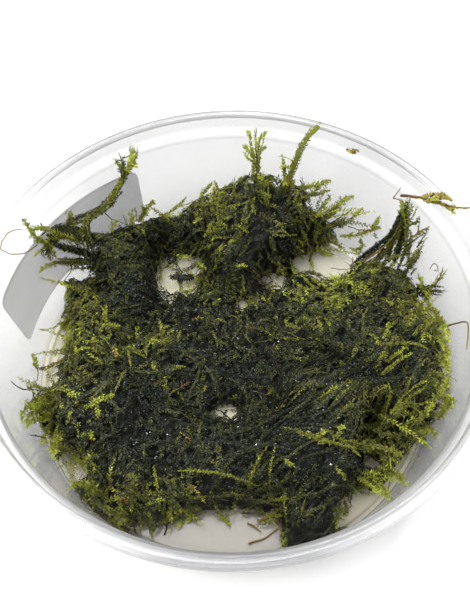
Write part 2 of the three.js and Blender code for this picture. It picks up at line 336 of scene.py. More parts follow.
def make_light(name, place, size, watts):
    """A round lamp that faces the middle of the foot."""
    data = bpy.data.lights.new(name, "AREA")
    data.shape = "DISK"
    data.size = size
    data.energy = watts
    lamp = bpy.data.objects.new(name, data)
    lamp.location = place
    lamp.rotation_euler = (-Vector(place)).to_track_quat("-Z", "Y").to_euler()
    bpy.context.scene.collection.objects.link(lamp)


def make_studio():
    scene = bpy.context.scene
    scene.view_settings.view_transform = "Standard"
    world = bpy.data.worlds.new("white_room")
    world.use_nodes = True
    world.node_tree.nodes["Background"].inputs["Color"].default_value = (1, 1, 1, 1)
    world.node_tree.nodes["Background"].inputs["Strength"].default_value = WORLD_LIGHT
    scene.world = world
    make_light("soft_key", KEY_PLACE, KEY_SIZE, KEY_WATTS)
    for number, place in enumerate(LAMPS):
        make_light(f"small_lamp_{number}", place, LAMP_SIZE, LAMP_WATTS)


def make_table():
    bpy.ops.mesh.primitive_grid_add(
        x_subdivisions=TABLE_CELLS, y_subdivisions=TABLE_CELLS, size=TABLE_SIZE,
        location=(0, 0, TABLE_HEIGHT),
    )
    table = bpy.context.object
    table.name = "table"
    finish = Finish("white_table").set(Base_Color=TABLE_WHITE, Roughness=TABLE_ROUGHNESS)
    table.data.materials.append(finish.material)


# Materials

class Finish:
    """A node material: shader sockets are set by name, and nodes are added and linked in one call each."""

    def __init__(self, name):
        self.material = bpy.data.materials.new(name)
        self.material.use_nodes = True
        self.tree = self.material.node_tree
        self.shader = self.tree.nodes["Principled BSDF"]

    def set(self, **values):
        for name, value in values.items():
            self.shader.inputs[name.replace("_", " ")].default_value = value
        return self

    def node(self, kind, **values):
        made = self.tree.nodes.new(kind)
        for name, value in values.items():
            if name in made.inputs:
                made.inputs[name].default_value = value
            else:
                setattr(made, name, value)
        return made

    def link(self, source, target):
        self.tree.links.new(source, target)

    def place(self):
        """The place on the piece, in metres."""
        return self.node("ShaderNodeTexCoord").outputs["Object"]

    def split(self, vector):
        """The three parts of a vector, by the names X, Y and Z."""
        parts = self.node("ShaderNodeSeparateXYZ")
        self.link(vector, parts.inputs["Vector"])
        return parts.outputs

    def scaled(self, source, low, high, first=0.0, last=1.0):
        """A number from first to last, as the source goes from low to high."""
        scale = self.node("ShaderNodeMapRange")
        for name, value in (("From Min", low), ("From Max", high), ("To Min", first), ("To Max", last)):
            scale.inputs[name].default_value = value
        self.link(source, scale.inputs["Value"])
        return scale.outputs["Result"]

    def ramp(self, stops, source):
        """A colour by the source's value. A stop whose colour is one number is grey."""
        ramp = self.node("ShaderNodeValToRGB")
        stripe = ramp.color_ramp
        while len(stripe.elements) < len(stops):
            stripe.elements.new(0.5)
        for element, (place, colour) in zip(stripe.elements, stops):
            element.position = place
            element.color = (*np.broadcast_to(colour, 3), 1)
        self.link(source, ramp.inputs["Fac"])
        return ramp.outputs["Color"]

    def mixed(self, first, second, share=None):
        """The two colours mixed by a share, or multiplied where none is given."""
        both = self.node("ShaderNodeMix", data_type="RGBA", blend_type="MULTIPLY" if share is None else "MIX")
        both.inputs["Factor"].default_value = 1.0
        if share is not None:
            self.link(share, both.inputs["Factor"])
        self.link(first, both.inputs["A"])
        self.link(second, both.inputs["B"])
        return both.outputs["Result"]

    def noise(self, place, scale, detail):
        cloud = self.node("ShaderNodeTexNoise", Scale=scale, Detail=detail)
        self.link(place, cloud.inputs["Vector"])
        return cloud.outputs["Fac"]

    def roughen(self, place, scale, detail, strength, depth):
        """Small bumps all over."""
        bump = self.node("ShaderNodeBump", Strength=strength, Distance=depth * MM)
        self.link(self.noise(place, scale, detail), bump.inputs["Height"])
        self.link(bump.outputs["Normal"], self.shader.inputs["Normal"])

    def let_through(self, colour, share):
        """Part of the light goes through to the other side, scattered."""
        glow = self.node("ShaderNodeBsdfTranslucent")
        self.link(colour, glow.inputs["Color"])
        both = self.node("ShaderNodeMixShader")
        both.inputs["Fac"].default_value = share
        self.link(self.shader.outputs["BSDF"], both.inputs[1])
        self.link(glow.outputs["BSDF"], both.inputs[2])
        self.link(both.outputs["Shader"], self.tree.nodes["Material Output"].inputs["Surface"])


# Tones of the tub by share of its height: wet floor, the painted shade lines round its heel, wall, a painted
# shade line at the ledge with a band of painted highlight over it, neck band, crest
TUB_TONES_AND_PAINTED_LINES = [
    (0.000, (0.97, 0.95, 0.90)), (0.020, (0.97, 0.95, 0.90)), (0.025, (0.58, 0.58, 0.56)),
    (0.030, (0.58, 0.58, 0.56)), (0.033, (0.97, 0.95, 0.90)), (0.038, (0.97, 0.95, 0.90)),
    (0.050, (0.90, 0.90, 0.88)), (0.057, (0.60, 0.60, 0.58)), (0.062, (0.60, 0.60, 0.58)),
    (0.070, (0.90, 0.90, 0.89)), (0.800, 0.87), (0.825, 0.72), (0.840, 0.97), (0.875, 0.97),
    (0.900, 0.86), (0.955, 0.86), (0.980, 1.0), (1.000, 1.0),
]
# Painted shade, as shares of those tones: on the floor by the distance from a point beyond its near edge,
# which also gives the floor its creamy tint, and on the wall from the near side of the tub to the far side,
# times those from its left to its right
FLOOR_PAINTED_SHADE = [
    (0.0, (0.40, 0.37, 0.34)), (0.34, (0.47, 0.45, 0.41)), (0.41, (0.82, 0.80, 0.72)),
    (0.50, (1.0, 0.98, 0.86)), (0.85, (0.97, 0.96, 0.84)), (1.0, (1, 1, 0.95)),
]
FLOOR_PAINTED_SHADE_MIDDLE = (-8, -75, 0)
FLOOR_PAINTED_SHADE_REACH = 117
FLOOR_PAINTED_SHADE_TOP = 1.6
WALL_PAINTED_SHADE_BOTTOM = 2.6
WALL_PAINTED_SHADE = [
    (0.0, (0.52, 0.52, 0.53)), (0.015, (0.50, 0.50, 0.51)), (0.025, (0.66, 0.66, 0.67)), (0.10, 0.95),
    (0.67, 0.96), (0.86, 0.70), (1.0, 0.70),
]
SIDE_PAINTED_SHADE = [(0.0, 0.93), (0.15, 1.0), (0.72, 1.0), (0.92, 0.83), (1.0, 0.83)]
PLASTIC = dict(Roughness=0.14, IOR=1.42, Transmission_Weight=0.77)
PLASTIC_RIPPLE = dict(scale=260.0, detail=3.0, strength=0.015, depth=0.3)


def clear_plastic():
    """Thin moulded plastic, a little milky: whiter up the wall, creamy where the floor is wet, with painted
    shade.
    """
    look = Finish("clear_plastic").set(**PLASTIC)
    place = look.place()
    parts = look.split(place)
    # Tones by height, with painted shade lines at the heel and ledge and a painted highlight band over the
    # ledge
    tint = look.ramp(TUB_TONES_AND_PAINTED_LINES, look.scaled(parts["Z"], 0, TUB_HEIGHT * MM))
    # Painted shade on the wall: darker at the near rim, the far wall and the sides
    wall = look.mixed(*(
        look.ramp(stops, look.scaled(parts[axis], -RIM_RADIUS * MM, RIM_RADIUS * MM))
        for axis, stops in (("Y", WALL_PAINTED_SHADE), ("X", SIDE_PAINTED_SHADE))
    ))
    # Painted shade on the floor, darker towards its near edge, which also gives the floor its creamy tint
    away = look.node("ShaderNodeVectorMath", operation="DISTANCE")
    away.inputs[1].default_value = [value * MM for value in FLOOR_PAINTED_SHADE_MIDDLE]
    look.link(place, away.inputs[0])
    floor = look.ramp(FLOOR_PAINTED_SHADE, look.scaled(away.outputs["Value"], 0, FLOOR_PAINTED_SHADE_REACH * MM))
    low = look.scaled(parts["Z"], WALL_PAINTED_SHADE_BOTTOM * MM, FLOOR_PAINTED_SHADE_TOP * MM)
    look.link(look.mixed(tint, look.mixed(wall, floor, low)), look.shader.inputs["Base Color"])
    look.roughen(place, **PLASTIC_RIPPLE)
    return look.material


# Greys of the label paper in a cloud, darkened from white as painted shade
PAPER_TONES_AND_PAINTED_SHADE = [(0.3, 0.80), (0.75, 0.88)]
PAPER_CLOUD = dict(scale=90.0, detail=4.0)
PAPER_TOOTH = dict(scale=1800.0, detail=2.0, strength=0.15, depth=0.1)
PAPER_ROUGHNESS = 0.55
PAPER_LETS_THROUGH = 0.75


def label_paper():
    """Paper with a fine tooth, that lets a good part of the light through, greyed as painted shade."""
    look = Finish("label_paper").set(Roughness=PAPER_ROUGHNESS)
    place = look.place()
    tint = look.ramp(PAPER_TONES_AND_PAINTED_SHADE, look.noise(place, **PAPER_CLOUD))
    look.link(tint, look.shader.inputs["Base Color"])
    look.roughen(place, **PAPER_TOOTH)
    look.let_through(tint, PAPER_LETS_THROUGH)
    return look.material


# Tones of the moss from 0 to 1: wet black, dark green, olive, yellow green, lime, straw, orange brown, dark
# brown, the black of the inside block as painted shade, and the pale painted glint of a droplet at the end
MOSS_TONES = [
    (0.00, (0.014, 0.016, 0.013)), (0.15, (0.022, 0.026, 0.018)), (0.32, (0.050, 0.056, 0.022)),
    (0.50, (0.125, 0.132, 0.026)), (0.66, (0.25, 0.265, 0.030)), (0.80, (0.40, 0.48, 0.055)),
    (0.86, (0.36, 0.29, 0.06)), (0.93, (0.20, 0.11, 0.04)), (0.97, (0.06, 0.036, 0.020)),
    (0.976, (0.015, 0.016, 0.012)), (0.986, (0.015, 0.016, 0.012)), (0.995, (0.42, 0.48, 0.47)),
    (1.00, (0.42, 0.48, 0.47)),
]
# Tone of the inside block, near black as painted shade
INSIDE_PAINTED_SHADE_TONE = 0.978
# Tone of a droplet's pale painted glint
DROPLET_PAINTED_GLINT_TONE = 0.995
MOSS_IOR = 1.27
# Roughness goes from the first to the last of one pair as the tone goes through the other
WET_TONES = (0.1, 0.7)
WET_ROUGHNESS = (0.10, 0.42)
LIGHTNESS = (0.55, 1.5)
LEAF_LETS_THROUGH = 0.25


def wet_moss(name):
    """Leaves one cell thick, wet: the map's U is the tone and its V the lightness of a leaf."""
    look = Finish(name).set(IOR=MOSS_IOR)
    parts = look.split(look.node("ShaderNodeUVMap", uv_map=LEAF_MAP).outputs["UV"])
    wetness = look.scaled(parts["X"], *WET_TONES, *WET_ROUGHNESS)
    look.link(wetness, look.shader.inputs["Roughness"])
    lit = look.node("ShaderNodeVectorMath", operation="SCALE")
    look.link(look.ramp(MOSS_TONES, parts["X"]), lit.inputs[0])
    look.link(look.scaled(parts["Y"], 0, 1, *LIGHTNESS), lit.inputs["Scale"])
    look.link(lit.outputs["Vector"], look.shader.inputs["Base Color"])
    look.let_through(lit.outputs["Vector"], LEAF_LETS_THROUGH)
    return look.material


# Tub and label

def add_object(name, mesh, finish):
    piece = bpy.data.objects.new(name, mesh)
    bpy.context.scene.collection.objects.link(piece)
    mesh.materials.append(finish)
    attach(piece, BODY)
    return piece


def rounded(profile):
    """The profile with each corner off the axis turned into a small arc."""
    made = [profile[0]]
    for before, corner, after in zip(profile, profile[1:], profile[2:]):
        a, b, c = (np.array(p, float) for p in (before, corner, after))
        near = min(CORNER_CUT, CORNER_MOST * np.linalg.norm(a - b), CORNER_MOST * np.linalg.norm(c - b))
        start = b + unit(a - b) * near
        end = b + unit(c - b) * near
        for t in np.linspace(0, 1, CORNER_STEPS):
            made.append(tuple(start * (1 - t) ** 2 + 2 * b * t * (1 - t) + end * t ** 2))
    made.append(profile[-1])
    return made


def turned(name, profile, segments):
    """A closed mesh turned about the axis, from a profile that starts and ends on it."""
    ring = profile[1:-1]
    angles = np.arange(segments) * 2 * math.pi / segments
    points = [(0, 0, profile[0][1]), (0, 0, profile[-1][1])]
    for angle in angles:
        for radius, height in ring:
            points.append((radius * math.cos(angle), radius * math.sin(angle), height))
    faces = []
    count = len(ring)
    for i in range(segments):
        a = 2 + i * count
        b = 2 + (i + 1) % segments * count
        faces.append((0, b, a))
        for k in range(count - 1):
            faces.append((a + k, b + k, b + k + 1, a + k + 1))
        faces.append((a + count - 1, b + count - 1, 1))
    mesh = bpy.data.meshes.new(name)
    mesh.from_pydata([tuple(MM * v for v in p) for p in points], [], faces, shade_flat=False)
    return mesh


def make_tub():
    mesh = turned("clear_tub", rounded(TUB_PROFILE), TUB_SEGMENTS)
    tub = add_object("clear_tub", mesh, clear_plastic())
    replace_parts(tub, "tub")


def label_columns():
    """Places across the label, each with half the label's height there, less at the round corners."""
    inset = LABEL_WIDTH / 2 - LABEL_CORNER
    columns = [(x, LABEL_HEIGHT / 2) for x in np.linspace(-inset, inset, LABEL_COLUMNS)]
    for turn in np.linspace(0, math.pi / 2, LABEL_CORNER_STEPS)[1:]:
        out = inset + LABEL_CORNER * math.sin(turn)
        half = LABEL_HEIGHT / 2 - LABEL_CORNER * (1 - math.cos(turn))
        columns.append((out, half))
        columns.insert(0, (-out, half))
    return columns


def on_wall(across, up, proud):
    """The place of a point of the label, so far proud of the wall's outer face, in metres."""
    tilt = math.radians(LABEL_TILT_DEGREES)
    along = across * math.cos(tilt) - up * math.sin(tilt)
    height = LABEL_MIDDLE_HEIGHT + across * math.sin(tilt) + up * math.cos(tilt)
    angle = math.radians(LABEL_MIDDLE_DEGREES) + along / wall_radius(LABEL_MIDDLE_HEIGHT)
    radius = wall_radius(height) + WALL + proud
    return radius * math.cos(angle) * MM, radius * math.sin(angle) * MM, height * MM


def make_label():
    """A thin sheet with round corners, bent round the outside of the wall."""
    columns = label_columns()
    rows = np.linspace(-1, 1, LABEL_ROWS)
    points = []
    for proud in (LABEL_GAP, LABEL_GAP + LABEL_THICKNESS):
        points += [on_wall(across, row * half, proud) for across, half in columns for row in rows]
    wide, high = len(columns), len(rows)
    layer = wide * high
    faces = []
    for i in range(wide - 1):
        for k in range(high - 1):
            a = i * high + k
            faces.append((a, a + 1, a + high + 1, a + high))
            faces.append(tuple(layer + v for v in (a, a + high, a + high + 1, a + 1)))
    border = list(range(high))
    border += [i * high + high - 1 for i in range(1, wide)]
    border += [(wide - 1) * high + k for k in range(high - 2, -1, -1)]
    border += [i * high for i in range(wide - 2, 0, -1)]
    for a, b in zip(border, border[1:] + border[:1]):
        faces.append((a, a + layer, b + layer, b))
    mesh = bpy.data.meshes.new("plain_label")
    mesh.from_pydata(points, [], faces, shade_flat=False)
    label = add_object("plain_label", mesh, label_paper())
    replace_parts(label, "label")


# Moss

SPARE_WAY = (0.3, 0.9, 0.1)
NEIGHBOURS = ((1, 0), (-1, 0), (0, 1), (0, -1))


def frames(points, up):
    """Tangent, facing and side vectors along a path. Where the path runs along up, it faces a spare way."""
    tangent = unit(np.gradient(points, axis=0))
    up = np.broadcast_to(np.asarray(up, float), points.shape)
    facing = up - (up * tangent).sum(1, keepdims=True) * tangent
    weak = np.linalg.norm(facing, axis=1) < 0.1
    facing[weak] = np.cross(tangent[weak], SPARE_WAY)
    facing = unit(facing)
    return tangent, facing, np.cross(tangent, facing)


class Tangle:
    """Shoots, stems and lumps of one piece of moss, gathered as arrays and made into one mesh."""

    def __init__(self, seed):
        self.rng = np.random.default_rng(seed)
        self.points = []
        self.faces = []
        self.maps = []
        self.count = 0
        self.plump = LEAF_PLUMP

    def add(self, points, faces, tone_map):
        self.faces.append(np.asarray(faces) + self.count)
        self.points.append(points)
        self.maps.append(tone_map)
        self.count += len(points)

    def leaf_axes(self, points, up, share, spread):
        """Where each leaf starts, and the ways that its blade, its width and its face point."""
        count = len(share)
        run = lengths_along(points)

        def along(values):
            return np.stack([np.interp(share * run[-1], run, values[:, axis]) for axis in range(3)], 1)

        tangent, facing, side = (unit(along(values)) for values in frames(points, up))
        side = side * np.where(np.arange(count) % 2, 1, -1)[:, None]
        angle = np.radians(spread + self.rng.normal(0, LEAF_ANGLE_SPREAD, count))
        angle = angle * np.interp(share, *LEAF_CLOSING)
        lean = self.rng.normal(*LEAF_LEAN, count)
        outward = side * np.cos(lean)[:, None] + facing * np.sin(lean)[:, None]
        blade = unit(tangent * np.cos(angle)[:, None] + outward * np.sin(angle)[:, None])
        across = unit(np.cross(facing, blade) + self.rng.normal(0, LEAF_TWIST, (count, 3)))
        across = unit(across - (across * blade).sum(1, keepdims=True) * blade)
        return along(points), blade, across, np.cross(blade, across)

    def leaf_corners(self, share, leaf, base, blade, across, normal):
        """Each leaf's heel, its two widest places and its tip."""
        count = len(share)
        size = leaf * np.interp(share, *LEAF_SIZE_CURVE) * self.rng.uniform(*LEAF_SIZES, count)
        length = size[:, None]
        width = length * self.plump
        middle = base + blade * length * LEAF_WIDEST + normal * length * LEAF_FOLD
        droop = normal * length * self.rng.uniform(*LEAF_DROOP, (count, 1))
        heel = base - blade * length * LEAF_HEEL
        tip = base + blade * length - droop
        return np.stack([heel, middle + across * width, middle - across * width, tip], 1)

    def leaf_map(self, share, tone):
        """Tone and lightness of each leaf's corners."""
        count = len(share)
        shade = np.interp(share, (0, 1), tone) + self.rng.normal(0, LEAF_MOTTLE, count)
        light = np.clip(self.rng.normal(*LEAF_LIGHT, count), *LEAF_LIGHTS)
        tone_map = np.empty((count, 4, 2))
        shade = np.clip(shade, *LEAF_TONES)[:, None]
        tone_map[:, :, 0] = shade + np.array([0, -1, 1, 0]) * LEAF_TONE_WIDTH / 2
        tone_map[:, :, 1] = light[:, None] + np.array([0, 0.3, 0.3, 1]) * LEAF_LIGHT_STEP
        return tone_map.reshape(-1, 2)

    def leaves(self, points, up, leaf, tone, spacing, start=0.0, spread=50.0):
        """Two rows of pointed leaves along a path, each a thin folded blade of four faces."""
        count = int(lengths_along(points)[-1] * (1 - start) / spacing)
        if count < 2:
            return
        share = start + (1 - start) * (np.arange(count) + self.rng.random(count) * LEAF_PLACE_JITTER) / count
        share = np.minimum(share, 1.0)
        corners = self.leaf_corners(share, leaf, *self.leaf_axes(points, up, share, spread))
        faces = np.arange(count)[:, None, None] * 4 + LEAF_FACES
        self.add(corners.reshape(-1, 3), faces.reshape(-1, 3), self.leaf_map(share, tone))

    def stem(self, points, up, radius, tone, sides=3):
        """A closed rod along a path, with its radius going from the first to the second value."""
        count = len(points)
        _, facing, side = frames(points, up)
        turn = np.arange(sides) * 2 * math.pi / sides
        size = np.linspace(radius[0], radius[1], count)[:, None, None]
        ring = facing[:, None] * np.cos(turn)[None, :, None] + side[:, None] * np.sin(turn)[None, :, None]
        corners = (points[:, None] + ring * size).reshape(-1, 3)
        k, j = np.meshgrid(np.arange(count - 1), np.arange(sides), indexing="ij")
        a, b = k * sides + j, k * sides + (j + 1) % sides
        c, d = a + sides, b + sides
        last = (count - 1) * sides
        caps = [(0, i + 1, i) for i in range(1, sides - 1)]
        caps += [(last, last + i, last + i + 1) for i in range(1, sides - 1)]
        faces = [np.stack(corner, -1).reshape(-1, 3) for corner in ([a, b, d], [a, d, c])] + [np.array(caps)]
        share = np.repeat(np.linspace(0, 1, count), sides)
        shade = np.clip(np.interp(share, (0, 1), tone), *LEAF_TONES)
        shade = shade + np.tile(np.arange(sides) * LEAF_TONE_WIDTH / sides, count)
        self.add(corners, np.concatenate(faces), np.stack([shade, STEM_LIGHT + share * LEAF_LIGHT_STEP], 1))

    def shoot(self, points, up, leaf, tone, spacing=0.3, thick=0.13, ragged=0.8, spread=48.0):
        """A leafy shoot. Where ragged is a number, it ends where it comes to a bare place, give or take."""
        points = kept_inside(points)
        if ragged is not None:
            last = open_length(points, self.rng.normal(GAP_ROOM, ragged))
            if last < 3:
                return
            points = points[:last]
        self.leaves(points, up, leaf, tone, spacing, spread=spread)
        every = 2 if len(points) > 4 else 1
        stem_tone = (tone[0] * STEM_DARKENING[0], tone[1] * STEM_DARKENING[1])
        self.stem(points[::every], up, (thick, thick * STEM_TAPER), stem_tone)

    def frond(self, points, up, leaf, tone, reach, gap=1.5, spacing=0.32, ragged=0.8):
        """A shoot with side shoots to left and right, like a small flat feather."""
        self.shoot(points, up, leaf, tone, spacing, ragged=ragged)
        rng = self.rng
        run = lengths_along(points)
        tangent, facing, side = frames(points, up)
        stations = np.linspace(0, 1, SIDE_SHOOT_STATIONS)[:, None]
        place = gap * rng.uniform(*SIDE_SHOOT_FIRST)
        sign = rng.choice([-1, 1])
        while place < run[-1] - BARE_TIP:
            share = place / run[-1]
            k = min(int(np.searchsorted(run, place)), len(points) - 1)
            length = reach * np.interp(share, *SIDE_SHOOT_CURVE) * rng.uniform(*SIDE_SHOOT_SIZES)
            way = tangent[k] * SIDE_SHOOT_WAY[0] + side[k] * sign * SIDE_SHOOT_WAY[1]
            way = way + facing[k] * rng.normal(*SIDE_SHOOT_LIFT)
            bend = tangent[k] * SIDE_SHOOT_BEND * length
            line = points[k] + unit(way) * length * stations + bend * stations ** 2
            root_tone = np.interp(share, (0, 1), tone)
            tones = (root_tone, min(root_tone + SIDE_SHOOT_LIGHTER, LIGHTEST_TONE))
            self.shoot(
                line, facing[k], leaf * SIDE_SHOOT_LEAF, tones, spacing * SIDE_SHOOT_SPACING,
                SIDE_SHOOT_THICKNESS, ragged,
            )
            sign = -sign
            place += gap * rng.uniform(*SIDE_SHOOT_GAPS)

    def painted_glint_droplets(self, places, sizes):
        """Small drops of water among the shoots, each an octahedron, pale as a painted glint."""
        ends = np.concatenate([np.eye(3), -np.eye(3)])
        corners = (places[:, None] + ends[None] * sizes[:, None, None]).reshape(-1, 3)
        faces = (np.arange(len(places))[:, None, None] * len(ends) + DROPLET_FACES).reshape(-1, 3)
        shade = DROPLET_PAINTED_GLINT_TONE + np.array([0, 1, 0, 1, 0, 1]) * LEAF_TONE_WIDTH
        one = np.stack([shade, DROPLET_PAINTED_GLINT_LIGHT + np.arange(len(ends)) * DROPLET_PAINTED_GLINT_STEP], 1)
        self.add(corners, faces, np.tile(one, (len(places), 1)))

    def inside(self, points, faces):
        """The block inside a clump, near black as painted shade."""
        across = np.arange(len(points)) % 3 / 2
        tones = INSIDE_PAINTED_SHADE_TONE + across * LEAF_TONE_WIDTH
        lights = INSIDE_PAINTED_SHADE_LIGHT + across * LEAF_LIGHT_STEP
        self.add(points, faces, np.stack([tones, lights], 1))

    def object(self, name, finish, slot, node):
        """The one mesh of everything gathered, in place of its node in the frame."""
        points = np.concatenate(self.points)
        faces = np.concatenate(self.faces)
        tone_map = np.concatenate(self.maps)
        mesh = bpy.data.meshes.new(name)
        mesh.vertices.add(len(points))
        mesh.vertices.foreach_set("co", (points * MM).ravel())
        mesh.loops.add(faces.size)
        mesh.loops.foreach_set("vertex_index", faces.ravel())
        mesh.polygons.add(len(faces))
        mesh.polygons.foreach_set("loop_start", np.arange(len(faces)) * 3)
        layer = mesh.uv_layers.new(name=LEAF_MAP)
        layer.data.foreach_set("uv", tone_map[faces].ravel())
        mesh.update(calc_edges=True)
        mesh.shade_flat()
        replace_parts(add_object(name, mesh, finish), node)


# Clumps, as in the frame. A lump is [x, y, half length, half width, top], a tip [x, y, z].
# comb is the way most shoots lie in degrees from +X, and none where they lie outward from the middle.
CLUMPS = {
    "back": dict(
        seed=11, node="back_clump", comb=None, strength=0.6, tone=0.34, length=(4, 9), share=0.32,
        leaf=0.95, wander=0.22, feathered=0.3, spread=46, strands=1, middle=(8, 34),
        lumps=[
            [6, 38, 13, 9, 21], [15, 31, 12, 10, 18], [1, 30, 9, 9, 15],
            [-4, 41, 7, 6, 17], [23, 37, 8, 7, 20], [9, 22, 9, 6, 9],
        ],
        tips=[
            [27.5, 43, 25], [28, 40, 20], [33.5, 38, 23], [35.5, 35.5, 21], [40, 29.5, 20], [38.5, 32.5, 23],
            [36.5, 31.5, 6], [30, 32, 5], [-4, 49, 19], [-11, 47, 14], [2, 47, 23], [14, 46, 24],
            [20, 45, 24], [-1, 20, 6], [22, 23, 6],
        ],
    ),
    "left": dict(
        seed=12, node="left_clump", comb=175, strength=1.1, tone=0.25, length=(5, 11), share=0.34,
        leaf=1.0, wander=0.16, feathered=0.3, spread=44, strands=2, middle=(-26, 24),
        lumps=[
            [-26, 31, 12, 9, 18], [-13, 36, 8, 6, 15], [-39, 28, 9, 7, 22],
            [-25, 18, 8, 10, 15], [-37, 18, 7, 7, 13],
        ],
        tips=[
            [-48.5, 21, 35], [-47, 22, 29], [-42, 31, 28], [-49, 16, 20.5], [-46, 17, 9], [-23, 43, 17],
            [-13, 44, 17], [-30, 41, 15], [-16, 27, 9], [-16, 14, 9], [-44, 22, 14],
        ],
    ),
    "front": dict(
        seed=13, node="front_clump", comb=40, strength=1.8, tone=0.17, length=(8, 15), share=0.22,
        leaf=0.85, wander=0.10, feathered=0.35, spread=38, strands=2, middle=(20, -26),
        lumps=[
            [16, -28, 14, 11, 19], [31, -22, 13, 11, 22], [43, -12, 8, 12, 21], [14, -41, 8, 8, 12],
            [26, -36, 10, 8, 18], [21, -13, 13, 8, 16], [-1, -30, 12, 10, 14],
        ],
        tips=[
            [10, -47, 3], [22, -44, 4], [29, -43.5, 25], [32, -40.5, 26], [40.5, -33, 23],
            [46.5, -25, 26], [49.5, -17, 22], [50.5, -8, 20], [40, -27, 10], [3, -42.5, 3],
            [-3, -42, 4], [34, -34, 9], [24, -42, 9],
        ],
    ),
    "lower_left": dict(
        seed=14, node="lower_left_clump", comb=None, strength=0.5, tone=0.26, length=(4, 9), share=0.36,
        leaf=0.95, wander=0.2, feathered=0.3, spread=46, strands=2, middle=(-26, -16),
        lumps=[
            [-35, 3, 9, 11, 13], [-30, -13, 12, 11, 15], [-41, -14, 8, 11, 15], [-36, -27, 9, 8, 16],
            [-24, -31, 10, 9, 15], [-20, -5, 9, 10, 11], [-14, -26, 9, 12, 13], [-14, -37, 8, 6, 11],
        ],
        tips=[
            [-49.5, 7, 10], [-50, -1, 11], [-50, -12, 20], [-47, -22, 20], [-44, -27, 19], [-41, -30, 10],
            [-35, -37, 18], [-20, -44, 3], [-16, -43.5, 3], [-8, -42, 4], [-46, -6, 15], [-27, -40, 6],
        ],
    ),
    "right": dict(
        seed=15, node="right_clump", comb=20, strength=0.5, tone=0.33, length=(4, 9), share=0.36,
        leaf=1.0, wander=0.2, feathered=0.3, spread=46, strands=2, middle=(36, 9),
        lumps=[
            [34, 10, 10, 9, 13], [43, 15, 7, 9, 16], [45, 3, 7, 9, 16], [37, 21, 7, 7, 14],
            [24, 8, 10, 8, 11], [34, 0, 9, 8, 12],
        ],
        tips=[
            [48.5, 19, 28], [47.5, 18, 22], [50.5, 10, 26], [50.5, 6, 22], [50, 8, 15], [51, 0, 19],
            [27, 20, 8], [22, 16, 8], [30, 25, 6],
        ],
    ),
    "centre": dict(
        seed=16, node="centre_mat", comb=None, strength=0.0, tone=0.205, length=(2.5, 5.5), share=0.6,
        leaf=0.8, wander=0.4, feathered=0.1, spread=55, strands=1, middle=(0, 4),
        lumps=[[-9, 8, 13, 12, 9], [10, 7, 13, 12, 8.5], [1, -8, 14, 11, 8]],
        tips=[[-9, 21, 6], [13, 15, 7], [1, 17, 5]],
    ),
}

# Low moss that joins the clumps or leans on the wall, beside the solids: x, y, half width, half depth, top
FILLS = [
    (-16, 19, 7, 6, 7), (20, 17, 9, 6, 7), (-13, -4, 7, 8, 8), (13, -8, 9, 6, 10), (0, -20, 10, 6, 8),
    (50, 3, 5, 14, 19), (48, -14, 4, 10, 14), (-48, -13, 4, 9, 15), (-46, -25, 4, 6, 13),
    (-38, -34, 7, 5, 13), (-29, -39, 8, 4, 9), (-40, 12, 5, 7, 7), (41, 20, 5, 6, 12), (8, 43.5, 16, 8, 26),
    (-18, 40, 12, 5, 14), (-6, 42, 9, 6, 20), (20, 43, 8, 6, 22),
]


def read_grid(grid, x, y):
    """The grid's value at each place, between the four cells round it."""
    last = len(grid) - 1.001
    i = np.clip((np.asarray(x, float) + FIELD_REACH) / FIELD_STEP, 0, last)
    j = np.clip((np.asarray(y, float) + FIELD_REACH) / FIELD_STEP, 0, last)
    a, b = np.floor(i).astype(int), np.floor(j).astype(int)
    u, v = i - a, j - b
    low = grid[a, b] * (1 - v) + grid[a, b + 1] * v
    high = grid[a + 1, b] * (1 - v) + grid[a + 1, b + 1] * v
    return low * (1 - u) + high * u


def moved(grid, i, j):
    """The grid moved by whole cells, with its edge repeated."""
    side = max(abs(i), abs(j), 1)
    wide = np.pad(grid, side, mode="edge")
    return wide[side + i:side + i + len(grid), side + j:side + j + len(grid)]


def highest(grid, radius):
    """The highest value within a radius of each cell."""
    reach = int(radius / FIELD_STEP)
    made = grid.copy()
    for i in range(-reach, reach + 1):
        for j in range(-reach, reach + 1):
            if math.hypot(i, j) <= radius / FIELD_STEP:
                made = np.maximum(made, moved(grid, i, j))
    return made


def softened(grid, passes):
    """The grid with each cell drawn towards its four neighbours."""
    for _ in range(passes):
        grid = (grid * 2 + moved(grid, 1, 0) + moved(grid, -1, 0)) / 4
        grid = (grid * 2 + moved(grid, 0, 1) + moved(grid, 0, -1)) / 4
    return grid


def inside_oval(x, y, middle_x, middle_y, half_length, half_width):
    """1 in the middle of an oval, 0 at its edge and below 0 beside it."""
    return 1 - ((x - middle_x) / half_length) ** 2 - ((y - middle_y) / half_width) ** 2


def dome(x, y, middle_x, middle_y, half_length, half_width, top):
    """Height of a heap over each place, and 0 beside it."""
    inside = inside_oval(x, y, middle_x, middle_y, half_length, half_width)
    seat = FLOOR_TOP + (top - FLOOR_TOP) * SEAT_SHARE
    return np.where(inside > 0, seat + (top - seat) * np.sqrt(np.maximum(inside, 0)), 0)


def heaps(x, y):
    """Height of the heaps over each place, and the number of the nearest clump there."""
    heights = np.stack([
        np.max([dome(x, y, *lump) for lump in plan["lumps"]], axis=0) for plan in CLUMPS.values()
    ])
    solid = heights.max(0)
    owner = np.where(solid > 0, heights.argmax(0), -1)
    while (owner < 0).any():
        for step in NEIGHBOURS:
            owner = np.where(owner < 0, moved(owner, *step), owner)
    for *oval, top in FILLS:
        solid = np.maximum(solid, top * np.sqrt(np.maximum(inside_oval(x, y, *oval), 0)))
    return solid, owner


def opened(top, x, y):
    """The mat's top, lowered wherever it would hide a bare place from EYE."""
    for level in np.arange(FLOOR_TOP, *GAP_LEVELS):
        spots = np.stack([x.ravel(), y.ravel(), np.full(x.size, level)], 1)
        hides = gap_distance(spots).reshape(x.shape) < GAP_ROOM
        top = np.where(hides, np.minimum(top, level), top)
    return top


